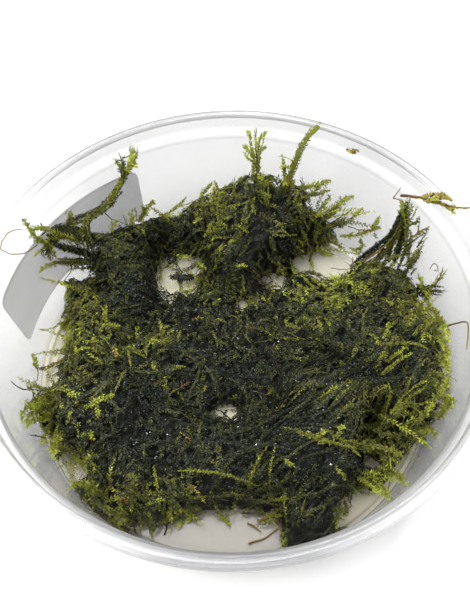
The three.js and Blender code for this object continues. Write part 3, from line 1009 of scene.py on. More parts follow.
class Mat:
    """The moss as one uneven sheet: the height of its top, the clump that each cell is part of, how far each
    cell is from the edge, and the way out to it."""

    def __init__(self):
        self.axis = np.arange(int(2 * FIELD_REACH / FIELD_STEP) + 1) * FIELD_STEP - FIELD_REACH
        x, y = np.meshgrid(self.axis, self.axis, indexing="ij")
        solid, self.owner = heaps(x, y)
        filled = -highest(-highest(solid, FILL_RADIUS), FILL_RADIUS)
        top = opened(softened(solid + FILL_SHARE * (filled - solid), 3), x, y)
        top = np.where(np.hypot(x, y) > wall_radius(top) - EDGE_ROOM, 0, top)
        self.top = softened(top, 2)
        self.cells = self.top > LEAST_HEIGHT
        self.inset = np.zeros_like(top)
        left = self.cells.copy()
        for _ in range(INSET_CELLS):
            self.inset += left * FIELD_STEP
            left = np.logical_and.reduce([left, *(moved(left, *step) for step in NEIGHBOURS)])
        self.outward = np.stack(np.gradient(-softened(self.cells.astype(float), 6)), -1)

    def height(self, x, y):
        return read_grid(self.top, x, y)

    def normal(self, x, y):
        across = self.height(x + 1, y) - self.height(x - 1, y)
        along = self.height(x, y + 1) - self.height(x, y - 1)
        return unit(np.stack([-across / 2, -along / 2, np.ones_like(across)], -1))

    def block_points(self, x, y):
        """The knobbly top of the block over each place, and then its underside."""
        knobs = np.array([noise.noise(Vector((a, b, 0)) * KNOB_SCALE) for a, b in zip(x, y)]) * KNOB_HEIGHT
        steepest = FLOOR_TOP + BODY_EDGE + read_grid(self.inset, x, y) * BODY_SLOPE
        height = np.minimum(self.height(x, y) - BODY_DEPTH + knobs, steepest)
        upper = kept_inside(np.stack([x, y, np.maximum(height, FLOOR_TOP + BODY_LEAST)], 1))
        lower = np.stack([x, y, np.full(len(x), FLOOR_TOP + BODY_UNDERSIDE)], 1)
        lower[:, :2] *= np.minimum(1, (HEEL_RADIUS - BODY_FOOT_ROOM) / np.hypot(x, y))[:, None]
        return np.concatenate([upper, lower])

    def block(self, number):
        """Points and faces of the closed block inside one clump."""
        cells = (self.inset > BODY_INSET) & (self.owner == number)
        side = len(self.axis)
        held = np.zeros((side + 1, side + 1), bool)
        for i in (0, 1):
            for j in (0, 1):
                held[i:i + side, j:j + side] |= cells
        rows, columns = np.nonzero(held)
        count = len(rows)
        places = -np.ones(held.shape, int)
        places[rows, columns] = np.arange(count)
        x, y = self.axis[0] + (rows - 0.5) * FIELD_STEP, self.axis[0] + (columns - 0.5) * FIELD_STEP
        i, j = np.nonzero(cells)
        a, b, c, d = places[i, j], places[i + 1, j], places[i + 1, j + 1], places[i, j + 1]
        faces = [
            np.stack([a, b, c], 1), np.stack([a, c, d], 1),
            np.stack([a, c, b], 1) + count, np.stack([a, d, c], 1) + count,
        ]
        padded = np.pad(cells, 1)
        for di, dj, p, q in ((-1, 0, d, a), (1, 0, b, c), (0, -1, a, b), (0, 1, c, d)):
            rim = ~padded[i + 1 + di, j + 1 + dj]
            p, q = p[rim], q[rim]
            faces += [np.stack([q, p, p + count], 1), np.stack([q, p + count, q + count], 1)]
        return self.block_points(x, y), np.concatenate(faces)

    def scattered(self, number, per_area, rng):
        """Spots over the part of the mat that one clump makes up, more of them where it is steep."""
        i, j = np.nonzero(self.cells & (self.owner == number))
        x, y = self.axis[i], self.axis[j]
        area = FIELD_STEP ** 2 / np.maximum(self.normal(x, y)[:, 2], STEEPEST)
        pick = np.repeat(np.arange(len(i)), np.floor(area * per_area + rng.random(len(i))).astype(int))
        shift = rng.uniform(-0.5, 0.5, (2, len(pick))) * FIELD_STEP
        return x[pick] + shift[0], y[pick] + shift[1]

    def creep(self, x, y, heading, length, rng, lift, wander):
        """A shoot's line: it comes out of the mat, creeps over it and droops at its tip."""
        z = float(self.height(x, y)) - CREEP_DEPTH
        turn = math.atan2(heading[1], heading[0])
        points = [(x, y, z)]
        steps = max(3, int(length / STRIDE))
        for k in range(steps):
            share = (k + 1) / steps
            turn += rng.normal(0, wander)
            way = np.array([math.cos(turn), math.sin(turn)])
            ahead = float(self.height(x + way[0], y + way[1])) + lift * min(1, share * CREEP_SURFACING)
            rise = float(np.clip(ahead - CREEP_DROOP * share * share - z, *CREEP_RISES))
            run = STRIDE / math.hypot(1, rise)
            x, y, z = x + way[0] * run, y + way[1] * run, z + rise * run
            points.append((x, y, z))
        return np.array(points)

    def on_sight_line(self, across, down, height=None):
        """The place at a pixel of the photograph: at a height, or where the line from EYE meets the mat."""
        way = AIM @ ((across - IMAGE_WIDTH / 2) / FOCAL_PIXELS, (IMAGE_HEIGHT / 2 - down) / FOCAL_PIXELS, -1)
        levels = [height] if height is not None else np.arange(SIGHT_TOP, FLOOR_TOP, -SIGHT_STEP)
        for level in levels:
            place = np.array(EYE) + way * (level - EYE[2]) / way[2]
            if height is None and self.height(place[0], place[1]) + SIGHT_ROOM > level:
                break
        return place


# Spots where the moss is lighter or darker than round it, in its own tone and, in some dark spots, in painted
# shade where a heap shades its own front: x, y, radius and how much the tone shifts
TONE_AND_PAINTED_SHADE_SPOTS = [
    (10, 28, 9, -0.14), (-26, -22, 9, -0.24), (-23, 22, 10, -0.12), (33, -16, 7, -0.10), (20, -30, 7, -0.12),
    (-46, -12, 8, 0.14), (-46, 20, 7, 0.16), (-41, 9, 7, 0.18), (34, 38, 7, 0.22), (-19, 5, 7, 0.16),
    (47, -14, 7, 0.28), (49, 4, 7, 0.30), (42, -30, 7, 0.24), (29, -40, 6, 0.16), (22, -24, 6, 0.12),
    (36, -24, 6, 0.14), (4, -40, 7, 0.04), (25, 17, 7, 0.18), (38, 7, 6, -0.18), (26, 4, 5, -0.10),
    (-34, -32, 6, 0.14), (-4, -10, 7, -0.12), (12, -38, 6, 0.06), (30, -31, 7, 0.16), (-20, 14, 6, -0.14),
    (-12, 0, 6, -0.06), (2, 38, 7, 0.10), (-34, 3, 9, 0.10), (-14, 37, 7, -0.14), (27, -25, 9, 0.17),
    (5, -28, 8, -0.06),
]
# Painted light at the mat's edge: how much lighter the shoots are made there, and how deep it reaches
EDGE_PAINTED_LIGHT = 0.24
EDGE_DEPTH = 2.4
# Drifts of tone over the mat: strength, scale and the height at which the noise is read
TONE_DRIFTS = [(0.12, 0.16, 3), (0.10, 0.45, 9)]
TONE_LIMITS = (0.04, 0.72)


def tone_at(x, y, base):
    """Tone of a shoot that starts at a spot, lighter towards the mat's edge as painted light."""
    tone = base
    for strength, scale, level in TONE_DRIFTS:
        tone += strength * noise.noise(Vector((x, y, level)) * scale)
    for a, b, radius, shift in TONE_AND_PAINTED_SHADE_SPOTS:
        tone += shift * math.exp(-((x - a) ** 2 + (y - b) ** 2) / radius ** 2)
    tone += EDGE_PAINTED_LIGHT * math.exp(-float(read_grid(MAT.inset, x, y)) / EDGE_DEPTH)
    return float(np.clip(tone, *TONE_LIMITS))


def splayed(path, rng, root_spread, tip_spread, share):
    """The path with its root and its tip moved at random, by a share of the spreads."""
    start = rng.normal(0, root_spread, 3) * share
    end = rng.normal(0, tip_spread, 3) * share
    stations = np.linspace(0, 1, len(path))[:, None]
    return path + start * (1 - stations) + end * stations


def arm(tangle, tip, plan):
    """A bundle of long shoots from the flank of the nearest heap out to a tip."""
    rng = tangle.rng
    tip = np.array(tip, float)
    x, y, _, _, top = min(plan["lumps"], key=lambda lump: math.hypot(tip[0] - lump[0], tip[1] - lump[1]))
    share = min(1, ARM_LENGTH / math.hypot(tip[0] - x, tip[1] - y))
    root = np.array([
        tip[0] + (x - tip[0]) * share, tip[1] + (y - tip[1]) * share,
        max(FLOOR_TOP + ARM_LOWEST, min(tip[2], top) - ARM_DEPTH),
    ])
    bend = (root + tip) / 2 + (0, 0, ARM_ARCH)
    path = smooth_path([root, bend, tip], ARM_STEP)
    tone = tone_at(tip[0] * 0.9, tip[1] * 0.9, plan["tone"])
    for k in range(plan["strands"]):
        line = splayed(path, rng, 0.7, 0.8, k > 0)
        last = max(4, int(len(path) * rng.uniform(*ARM_SHARES))) if k else len(path)
        tones = (tone, min(tone + ARM_LIGHTER + rng.normal(0, 0.05), LIGHTEST_TONE))
        up = unit(rng.normal(0, 0.35, 3) + (0, -0.6, 0.8))
        tangle.shoot(line[:last], up, 1.0, tones, ARM_SPACING, ragged=None)


def runners(tangle, number, plan):
    """Long shoots that lie over the others, some of them bare brown or black stems for part of their way."""
    rng = tangle.rng
    for x, y in zip(*MAT.scattered(number, RUNNER_SHARE, rng)):
        turn = math.radians((plan["comb"] or rng.uniform(0, 360)) + rng.normal(0, RUNNER_SPREAD))
        heading = (math.cos(turn), math.sin(turn))
        length = rng.uniform(*RUNNER_LENGTHS) * (RUNNER_UNCOMBED if plan["comb"] is None else 1)
        line = MAT.creep(x, y, heading, length, rng, rng.uniform(*RUNNER_LIFTS), RUNNER_WANDER)
        up = unit(MAT.normal(x, y) + rng.normal(0, 0.3, 3))
        tone = tone_at(x, y, plan["tone"]) + rng.normal(0, 0.08)
        if rng.random() < RUNNER_BARE_SHARE:
            line = kept_inside(line[:max(3, open_length(line, 0))])
            tangle.stem(line, up, RUNNER_RADII, RUNNER_BARE_TONES[rng.integers(len(RUNNER_BARE_TONES))])
        else:
            tones = (tone, min(tone + 0.10, LIGHTEST_TONE))
            tangle.shoot(line, up, rng.uniform(*RUNNER_LEAVES), tones, spacing=0.24, spread=32)


def heading_of(plan, x, y, fringe, rng):
    """The way that a shoot goes: as its clump is combed or out from its middle, and out at the mat's edge."""
    if plan["comb"] is None:
        comb = unit(np.array([x - plan["middle"][0], y - plan["middle"][1]]))
    else:
        turn = math.radians(plan["comb"] + rng.normal(0, COMB_SPREAD))
        comb = np.array([math.cos(turn), math.sin(turn)])
    heading = comb * plan["strength"] + rng.normal(0, HEADING_SPREAD, 2)
    outward = np.array([read_grid(MAT.outward[:, :, axis], x, y) for axis in (0, 1)])
    return unit(heading) * (1 - fringe) + unit(outward + rng.normal(0, OUTWARD_SPREAD, 2)) * fringe


def tones_of(plan, x, y, rng):
    """Tones of a shoot's root and tip. A few shoots are dry and brown."""
    tone = tone_at(x, y, plan["tone"]) + rng.normal(0, SHOOT_TONE_SPREAD)
    tip_tone = tone + abs(rng.normal(*TIP_LIGHTER)) + LIGHT_SPOT_GAIN * max(0, tone - LIGHT_SPOT_TONE)
    if rng.random() < DRY_SHARE:
        return DRY_TONES
    return tone - ROOT_DARKER, min(tip_tone, LIGHTEST_TONE)


def creeping_shoot(tangle, plan, x, y):
    """One shoot of a clump, with side shoots or without."""
    rng = tangle.rng
    fringe = math.exp(-float(read_grid(MAT.inset, x, y)) / FRINGE_DEPTH)
    heading = heading_of(plan, x, y, fringe, rng)
    length = rng.uniform(*plan["length"])
    rising = max(0, heading[1], math.hypot(x, y) > WALL_REGION)
    lift = rng.uniform(*LIFTS) + rng.uniform(*FRINGE_LIFTS) * fringe * rising
    line = MAT.creep(x, y, heading, length, rng, lift, plan["wander"])
    tones = tones_of(plan, x, y, rng)
    up = unit(MAT.normal(x, y) + rng.normal(0, 0.25, 3))
    leaf = plan["leaf"] * rng.uniform(*SHOOT_LEAVES)
    if rng.random() < plan["feathered"] and length > LEAST_FROND:
        tangle.frond(line, up, leaf, tones, rng.uniform(*FROND_REACHES))
    else:
        tangle.shoot(line, up, leaf, tones, spread=plan["spread"])


def painted_glint_drops(tangle, number, plan):
    """Drops of water, pale as a painted glint, where the moss is dark."""
    rng = tangle.rng
    x, y = MAT.scattered(number, DROPLET_SHARE, rng)
    tones = np.array([tone_at(a, b, plan["tone"]) for a, b in zip(x, y)])
    dark = tones < DROPLET_DARKEST + rng.normal(0, 0.05, len(x))
    height = MAT.height(x, y) + rng.uniform(*DROPLET_HEIGHTS, len(x))
    tangle.painted_glint_droplets(np.stack([x, y, height], 1)[dark], rng.uniform(*DROPLET_SIZES, int(dark.sum())))


def make_clump(number, name, finish):
    plan = CLUMPS[name]
    tangle = Tangle(plan["seed"])
    # A near black block inside the clump, as painted shade
    tangle.inside(*MAT.block(number))
    for x, y in zip(*MAT.scattered(number, plan["share"], tangle.rng)):
        creeping_shoot(tangle, plan, x, y)
    runners(tangle, number, plan)
    painted_glint_drops(tangle, number, plan)
    for tip in plan["tips"]:
        arm(tangle, tip, plan)
    hand_set(tangle, name)
    tangle.object(f"{name}_moss", finish, "moss", plan["node"])


# Shoots that can be told apart in the photograph, set one by one for each piece: kind, tones of root and tip,
# leaf size, and then the places that the shoot goes through, each a pixel of the photograph and the height
# there.
# Places with no height lie on the mat.
HAND_SET = {
    "left": [
        ("frond", 0.52, 0.80, 1.1, (56, 258, 20), (48, 245, 24), (34, 236, 29.4), (28, 226, 32),
         (22, 219, 35.6)),
        ("shoot", 0.60, 0.79, 1.2, (31, 231, 31), (38, 228, 30), (47, 228, 27.5)),
        ("shoot", 0.55, 0.76, 1.2, (48, 247, 24), (40, 250, 26), (35, 256, 27)),
        ("shoot", 0.62, 0.82, 1.1, (50, 243, 24), (42, 242, 26), (33, 241, 28)),
        ("row", 0.10, 0.24, 1, (104, 241, 17), (82, 238, 20), (62, 236, 23), (45, 234, 26)),
        ("row", 0.14, 0.30, 1, (92, 233, 18), (78, 229, 21), (62, 228, 24), (55, 229, 26)),
        ("shoot", 0.45, 0.74, 1.1, (64, 226, 22), (68, 217, 24), (70, 210, 26)),
        ("twig", 0.10, 0.10, 0.8, (40, 234, 27), (50, 229, 27), (57, 224, 27.5)),
        ("twig", 0.95, 0.10, 0.8, (68, 242, 20), (75, 247, 18), (80, 255, 15)),
        ("twig", 0.10, 0.10, 0.8, (76, 243, 20), (84, 249, 17), (90, 254, 14)),
        ("row", 0.14, 0.34, 1, (103, 265, 11), (84, 262, 15), (66, 262, 18), (56, 262, 19.5)),
        ("frond", 0.40, 0.74, 1, (64, 262, 18), (52, 264, 19.5), (44, 268, 20.5), (39, 273, 21)),
        ("twig", 0.20, 0.45, 0.9, (72, 266, 14), (69, 274, 12), (64, 281, 11)),
        ("row", 0.14, 0.36, 1, (112, 272, 10), (98, 278, 10), (86, 280, 10), (84, 290, 8)),
        ("twig", 0.05, 0.10, 0.7, (107, 281, 9), (100, 289, 7), (92, 296, 5), (84, 292, 5)),
        ("shoot", 0.93, 0.93, 0.9, (70, 283, 8), (64, 282, 9), (58, 281, 10)),
        ("shoot", 0.74, 0.80, 1.1, (100, 296, 4), (94, 298, 4), (88, 299, 4.5)),
        ("twig", 0.35, 0.60, 0.9, (105, 213, 20), (112, 219, 16), (120, 222, 13), (128, 225, 12)),
        ("frond", 0.58, 0.78, 1, (114, 238, 14), (112, 228, 15), (117, 220, 16)),
        ("shoot", 0.95, 0.90, 1, (127, 233), (120, 236), (114, 240)),
        ("frond", 0.62, 0.84, 1.25, (138, 222, 9), (143, 213, 11), (148, 205, 13), (153, 199, 14.5)),
        ("shoot", 0.60, 0.80, 1.1, (144, 213, 11), (141, 206, 13), (140, 200, 14)),
        ("twig", 0.90, 0.60, 0.9, (136, 219, 10), (135, 211, 13), (133, 204, 15)),
        ("shoot", 0.52, 0.72, 1, (158, 219, 8.4), (170, 212, 9.5), (180, 204, 11), (186, 197, 12.5)),
        ("frond", 0.55, 0.76, 1, (200, 222, 12), (198, 214, 14), (195, 206, 15.5)),
        ("row", 0.08, 0.20, 1, (194, 276, 4), (184, 278, 4.5), (170, 277, 5)),
        ("twig", 0.06, 0.10, 0.8, (183, 273, 5), (178, 266, 6), (174, 261, 7)),
        ("shoot", 0.66, 0.86, 0.9, (196, 262, 8), (204, 266, 7), (208, 272, 6)),
        ("row", 0.30, 0.50, 1, (118, 190, 26), (106, 206, 23.5), (92, 215, 22.5), (72, 223, 22.5),
         (56, 228, 24)),
        ("row", 0.12, 0.30, 1, (100, 236, 18), (84, 234, 20), (66, 233, 22.5), (50, 232, 25)),
        ("row", 0.14, 0.32, 1, (62, 228, 23), (52, 240, 23), (46, 250, 23), (52, 256, 21)),
        ("row", 0.16, 0.40, 1, (96, 256, 12), (80, 252, 15), (64, 247, 19), (52, 243, 22)),
        ("fibre", 0.92, 0.88, 1, (37, 245, 27), (25, 253, 29), (11, 254, 32), (1, 249, 35.5),
         (4, 238, 36.2), (12, 231, 35.8), (23, 229, 33.2)),
        ("frond", 0.50, 0.76, 1, (86, 300, 4), (76, 292, 6), (68, 286, 8), (62, 284, 9)),
        ("frond", 0.50, 0.76, 1, (84, 312, 4), (74, 306, 5), (68, 298, 6), (65, 292, 7)),
        ("frond", 0.55, 0.78, 1, (84, 330, 3), (76, 320, 4), (70, 312, 4), (66, 306, 4.5)),
        ("frond", 0.56, 0.80, 1.2, (184, 222, 11), (190, 213, 12.5), (196, 205, 14)),
        ("frond", 0.50, 0.76, 1.1, (176, 226, 11), (178, 219, 12), (182, 213, 13)),
        ("frond", 0.50, 0.76, 1.1, (160, 226, 12), (165, 219, 13), (172, 215, 14)),
        ("frond", 0.50, 0.76, 1.1, (134, 228, 13), (132, 220, 14.5), (131, 212, 16)),
        ("shoot", 0.40, 0.66, 1, (158, 262, 6), (161, 270, 4), (160, 280, 3)),
        ("shoot", 0.62, 0.84, 1.1, (176, 256, 7), (183, 257, 7), (190, 256, 7)),
        ("twig", 0.08, 0.10, 0.7, (38, 222, 30), (46, 231, 27), (59, 226, 25)),
        ("twig", 0.08, 0.12, 0.7, (50, 241, 25), (55, 227, 26), (63, 223, 26)),
        ("twig", 0.10, 0.30, 0.7, (74, 240, 19), (80, 251, 16), (88, 262, 12)),
        ("twig", 0.12, 0.30, 0.7, (64, 252, 20), (72, 246, 19), (82, 244, 18)),
        ("row", 0.10, 0.26, 1, (110, 262, 10), (94, 262, 13), (76, 264, 16), (60, 264, 18)),
        ("frond", 0.30, 0.62, 1, (106, 268, 9), (90, 268, 11), (74, 268, 14)),
    ],
    "back": [
        ("twig", 0.88, 0.62, 1, (237, 182, 20), (222, 188, 16), (205, 196, 14), (190, 203, 12),
         (178, 207, 10.5)),
        ("frond", 0.44, 0.78, 1, (290, 188, 16), (303, 187, 18), (316, 186, 20), (331, 180, 24)),
        ("shoot", 0.40, 0.66, 1, (300, 192, 15), (312, 195, 16), (330, 190, 20)),
        ("twig", 0.40, 0.62, 1, (300, 180, 20), (302, 186, 18), (298, 194, 15)),
        ("frond", 0.44, 0.66, 1, (310, 222, 8), (319, 212, 11), (325, 203, 14.5), (331, 195, 18)),
        ("frond", 0.58, 0.80, 1.15, (331, 214, 12.5), (338, 205, 16), (345, 199, 19), (354, 196, 22)),
        ("twig", 0.20, 0.12, 1, (330, 224, 11), (341, 217, 14), (351, 210, 17)),
        ("frond", 0.46, 0.70, 1, (338, 228, 10), (350, 220, 14), (357, 214, 17), (363, 208, 19.5)),
        ("frond", 0.56, 0.78, 1.05, (340, 236, 7.5), (355, 235, 10), (369, 231, 13.5), (382, 226, 17)),
        ("shoot", 0.62, 0.84, 1.3, (371, 231, 14), (376, 224, 17), (380, 217, 20)),
        ("twig", 0.90, 0.90, 0.9, (348, 226, 12), (362, 230, 13), (374, 230, 15), (383, 226, 17)),
        ("shoot", 0.93, 0.95, 0.8, (376, 232, 13), (380, 235, 13), (379, 230, 14)),
        ("frond", 0.62, 0.80, 1, (360, 238, 9.6), (362, 246, 7.4), (358, 255, 4)),
        ("shoot", 0.60, 0.78, 1.1, (362, 247, 7), (356, 250, 6), (350, 248, 6)),
        ("frond", 0.50, 0.72, 1, (312, 246, 4), (322, 252, 2.4), (333, 255, 1.9)),
        ("twig", 0.10, 0.20, 0.9, (309, 262, 4), (312, 254, 6), (314, 246, 7)),
        ("shoot", 0.45, 0.66, 1, (308, 246, 5), (310, 258, 4), (313, 270, 3)),
        ("shoot", 0.76, 0.80, 1, (235, 266), (241, 265), (247, 266)),
        ("shoot", 0.72, 0.80, 0.9, (287, 236), (292, 235), (297, 235)),
        ("shoot", 0.52, 0.76, 1, (201, 195, 13), (207, 189, 15), (212, 182, 17)),
        ("shoot", 0.66, 0.88, 1, (222, 192, 16), (217, 187, 17.5), (215, 181, 19)),
        ("shoot", 0.80, 0.90, 1, (262, 186, 22), (266, 180, 24), (268, 175, 26)),
        ("row", 0.22, 0.46, 1, (312, 240, 8), (322, 230, 10), (334, 224, 11), (346, 218, 13)),
        ("row", 0.20, 0.50, 1, (306, 226, 10), (318, 220, 12), (330, 212, 13.5), (338, 206, 15)),
        ("frond", 0.40, 0.66, 1, (318, 236, 8), (328, 240, 7), (340, 246, 5), (346, 252, 3)),
        ("frond", 0.52, 0.80, 1, (300, 206, 14), (308, 198, 16), (316, 190, 18), (322, 184, 20)),
        ("twig", 0.86, 0.60, 0.8, (243, 186, 19), (247, 178, 22), (251, 171, 25)),
        ("frond", 0.60, 0.84, 1.2, (258, 190, 20), (262, 182, 22.5), (264, 175, 25)),
        ("shoot", 0.70, 0.86, 1.3, (264, 188, 21), (268, 181, 23), (271, 176, 24.5)),
        ("frond", 0.52, 0.78, 1.1, (284, 192, 20), (291, 186, 22), (295, 180, 24)),
        ("frond", 0.50, 0.76, 1.1, (276, 192, 21), (283, 184, 23), (289, 182, 23.5)),
        ("frond", 0.50, 0.76, 1.1, (246, 194, 19), (249, 187, 21), (247, 181, 22.5)),
        ("frond", 0.54, 0.78, 1.1, (236, 197, 18), (240, 190, 20), (243, 183, 22)),
        ("frond", 0.54, 0.80, 1.2, (205, 206, 14), (203, 199, 15), (201, 193, 16)),
        ("shoot", 0.66, 0.86, 1.3, (212, 202, 15), (214, 193, 17), (216, 186, 18.5)),
        ("twig", 0.20, 0.10, 0.9, (224, 200, 17), (230, 192, 19), (236, 183, 21)),
        ("shoot", 0.92, 0.93, 0.9, (350, 150, 33), (353, 151, 33), (356, 151, 33)),
        ("frond", 0.60, 0.80, 1, (300, 190, 20), (312, 186, 22), (328, 180, 25)),
        ("shoot", 0.89, 0.86, 1, (346, 150, 36), (351, 151, 36), (356, 153, 36)),
        ("shoot", 0.89, 0.87, 1, (352, 149, 36.5), (355, 151, 36.5), (358, 150, 36.5)),
    ],
    "centre": [
        ("shoot", 0.50, 0.66, 0.9, (178, 279, 3), (181, 287, 3), (179, 297, 3)),
        ("shoot", 0.60, 0.84, 0.8, (186, 280, 3), (189, 287, 3), (190, 294, 3)),
        ("shoot", 0.55, 0.70, 0.8, (193, 278, 3), (197, 285, 3), (199, 292, 3)),
        ("twig", 0.10, 0.10, 0.8, (214, 408, 3), (224, 414, 2.6), (236, 423, 2.6)),
        ("twig", 0.08, 0.08, 0.9, (235, 423, 3.5), (252, 419, 4.6), (270, 413, 5.6)),
        ("fibre", 0.34, 0.34, 1, (240, 398), (243, 389), (250, 387), (253, 396), (260, 404)),
        ("fibre", 0.36, 0.36, 1, (246, 402), (252, 392), (259, 392), (262, 400)),
        ("shoot", 0.62, 0.78, 0.9, (197, 262, 6), (202, 268, 5), (203, 276, 4), (200, 284, 3)),
        ("shoot", 0.30, 0.50, 1, (206, 262, 6), (205, 272, 5), (202, 282, 4), (196, 292, 3)),
        ("shoot", 0.90, 0.60, 0.8, (190, 272, 4), (196, 278, 4), (200, 286, 3)),
    ],
    "right": [
        ("frond", 0.58, 0.80, 1.1, (366, 292, 5), (354, 290, 5), (342, 283, 5), (330, 274, 5.5)),
        ("frond", 0.62, 0.82, 1.1, (360, 300, 4), (350, 299, 4), (340, 295, 4)),
        ("frond", 0.58, 0.80, 1, (372, 286, 7), (362, 282, 7), (352, 278, 7), (344, 273, 7)),
        ("shoot", 0.60, 0.84, 1.1, (345, 303, 3), (336, 296, 3), (330, 289, 3)),
        ("fibre", 0.92, 0.92, 1, (331, 268, 7), (340, 269, 7), (352, 269, 7.5)),
        ("fibre", 0.90, 0.90, 1, (353, 257, 9), (352, 264, 8), (353, 273, 7)),
        ("row", 0.30, 0.46, 1, (360, 276, 6), (356, 268, 8), (358, 262, 9)),
        ("frond", 0.88, 0.84, 1, (360, 286, 8), (385, 292, 11), (408, 301, 13), (424, 308, 15),
         (433, 316, 16.5)),
        ("frond", 0.44, 0.66, 1, (400, 275, 12), (409, 268, 14.5), (416, 259, 19), (421, 248, 23)),
        ("shoot", 0.80, 0.90, 1.2, (412, 238, 23.6), (420, 232, 26.5), (429, 227, 30)),
        ("shoot", 0.50, 0.60, 0.9, (411, 223, 26), (417, 223, 27.5), (419, 217, 30)),
        ("twig", 0.95, 0.50, 0.8, (411, 275, 14), (414, 271, 16), (417, 268, 17.5)),
        ("frond", 0.70, 0.80, 1.3, (424, 292, 14.5), (422, 284, 16), (418, 276, 17.5)),
        ("frond", 0.40, 0.88, 1, (415, 290, 13), (426, 289, 16), (437, 282, 21.6), (448, 269, 27)),
        ("twig", 0.95, 0.90, 0.9, (436, 284, 20), (441, 275, 24), (443, 267, 27)),
        ("row", 0.20, 0.40, 0.9, (412, 294, 12), (428, 290, 16.6), (443, 291, 22)),
        ("fibre", 0.92, 0.90, 1, (430, 269, 22), (433, 264, 24), (437, 265, 25), (438, 271, 23),
         (434, 270, 22)),
        ("shoot", 0.60, 0.80, 1.1, (424, 293, 13), (426, 298, 13), (428, 304, 13.5)),
        ("frond", 0.60, 0.88, 1, (420, 307, 11), (430, 310, 14), (438, 314, 16)),
        ("frond", 0.62, 0.88, 1.1, (432, 325, 14), (438, 333, 15), (444, 345, 15), (446, 360, 15)),
        ("frond", 0.60, 0.86, 1.1, (428, 322, 12), (430, 335, 13), (434, 348, 13), (436, 360, 14)),
        ("fibre", 0.93, 0.93, 1, (440, 316, 17), (445, 323, 18.4), (449, 330, 18.6), (447, 343, 18)),
        ("twig", 0.90, 0.86, 0.9, (423, 330, 12), (432, 327, 14), (445, 326, 17.8)),
        ("twig", 0.90, 0.90, 0.9, (409, 300, 13), (418, 303, 14), (425, 309, 15), (430, 315, 16)),
        ("shoot", 0.76, 0.82, 1, (388, 322), (387, 330), (383, 338)),
        ("shoot", 0.60, 0.80, 1, (401, 335), (404, 341), (408, 350)),
        ("frond", 0.60, 0.80, 1.1, (385, 362), (396, 355), (405, 347)),
        ("frond", 0.62, 0.84, 1, (428, 318, 16), (438, 322, 18), (446, 330, 20), (449, 342, 20.5)),
        ("frond", 0.60, 0.80, 1, (432, 330, 16), (441, 340, 18), (447, 352, 19), (449, 366, 19)),
        ("frond", 0.88, 0.84, 1, (424, 300, 15), (432, 308, 17), (440, 318, 19), (447, 326, 20.5)),
        ("frond", 0.56, 0.80, 1, (436, 350, 16), (444, 362, 17.5), (449, 374, 18.5)),
        ("frond", 0.66, 0.84, 1, (436, 372, 15), (445, 380, 17), (451, 386, 18.5)),
        ("frond", 0.54, 0.84, 1, (416, 284, 14), (424, 290, 16), (432, 300, 18)),
        ("frond", 0.60, 0.78, 1, (434, 306, 14), (440, 320, 17), (443, 334, 18)),
        ("frond", 0.58, 0.76, 1, (438, 330, 17), (445, 345, 18), (448, 360, 18)),
        ("shoot", 0.56, 0.76, 1, (441, 350, 17), (447, 366, 18), (449, 380, 18)),
        ("frond", 0.52, 0.74, 1, (438, 372, 15), (446, 384, 17), (450, 396, 18)),
        ("frond", 0.60, 0.82, 1.1, (438, 392, 14), (447, 402, 16), (454, 408, 18)),
        ("shoot", 0.60, 0.82, 1.1, (440, 404, 14), (446, 412, 16), (448, 420, 17)),
        ("twig", 0.10, 0.40, 0.9, (405, 294, 12), (416, 300, 13), (428, 310, 14)),
    ],
    "front": [
        ("frond", 0.66, 0.82, 1, (380, 375), (390, 368), (400, 360), (412, 353)),
        ("frond", 0.60, 0.80, 1.1, (437, 420, 20), (444, 412, 22), (450, 403, 24), (454, 398, 26)),
        ("frond", 0.58, 0.78, 1, (425, 410, 19), (434, 400, 20), (443, 388, 21), (449, 378, 22)),
        ("frond", 0.56, 0.80, 1, (415, 425, 18), (424, 415, 20), (434, 404, 22)),
        ("frond", 0.50, 0.74, 1, (410, 432, 18), (422, 432, 20), (431, 430, 22)),
        ("frond", 0.56, 0.80, 1, (408, 440, 16), (418, 440, 20), (428, 446, 23)),
        ("frond", 0.66, 0.82, 1.1, (352, 447), (366, 449), (380, 453), (396, 458, 12), (404, 462, 12)),
        ("frond", 0.62, 0.82, 1, (378, 452), (386, 462, 10), (390, 474, 12), (392, 480, 16)),
        ("frond", 0.60, 0.82, 1, (388, 470, 12), (398, 476, 20), (405, 484, 27)),
        ("frond", 0.62, 0.84, 1, (374, 478, 12), (382, 487, 20), (389, 500, 30)),
        ("frond", 0.62, 0.80, 1.1, (313, 436), (320, 434), (326, 431)),
        ("frond", 0.60, 0.80, 1.2, (336, 438), (340, 431), (343, 425)),
        ("frond", 0.66, 0.82, 1, (320, 398), (329, 392), (337, 385)),
        ("shoot", 0.68, 0.80, 1, (335, 466), (341, 473), (346, 480)),
        ("shoot", 0.66, 0.78, 1, (284, 459), (289, 463), (294, 466)),
        ("frond", 0.50, 0.74, 1, (280, 428), (300, 432), (318, 440), (340, 444)),
        ("shoot", 0.56, 0.80, 0.8, (256, 486), (245, 481), (234, 477), (210, 472), (190, 470), (178, 471)),
        ("shoot", 0.30, 0.10, 0.8, (178, 471), (166, 469), (154, 466)),
        ("row", 0.36, 0.60, 1, (296, 516, 5), (290, 528, 3), (286, 541, 2.2)),
        ("frond", 0.54, 0.78, 1, (310, 520, 5), (302, 532, 3), (290, 542, 2.2), (284, 545, 2)),
        ("frond", 0.50, 0.74, 1, (338, 498, 6), (340, 512, 4), (338, 524, 3)),
        ("shoot", 0.50, 0.74, 1, (344, 500, 5), (347, 508, 4), (346, 516, 3)),
        ("twig", 0.92, 0.92, 1, (283, 514, 3), (282, 520, 2.4), (288, 530, 2.2)),
        ("shoot", 0.92, 0.92, 0.9, (257, 521, 2), (265, 519, 2), (274, 516, 2.2)),
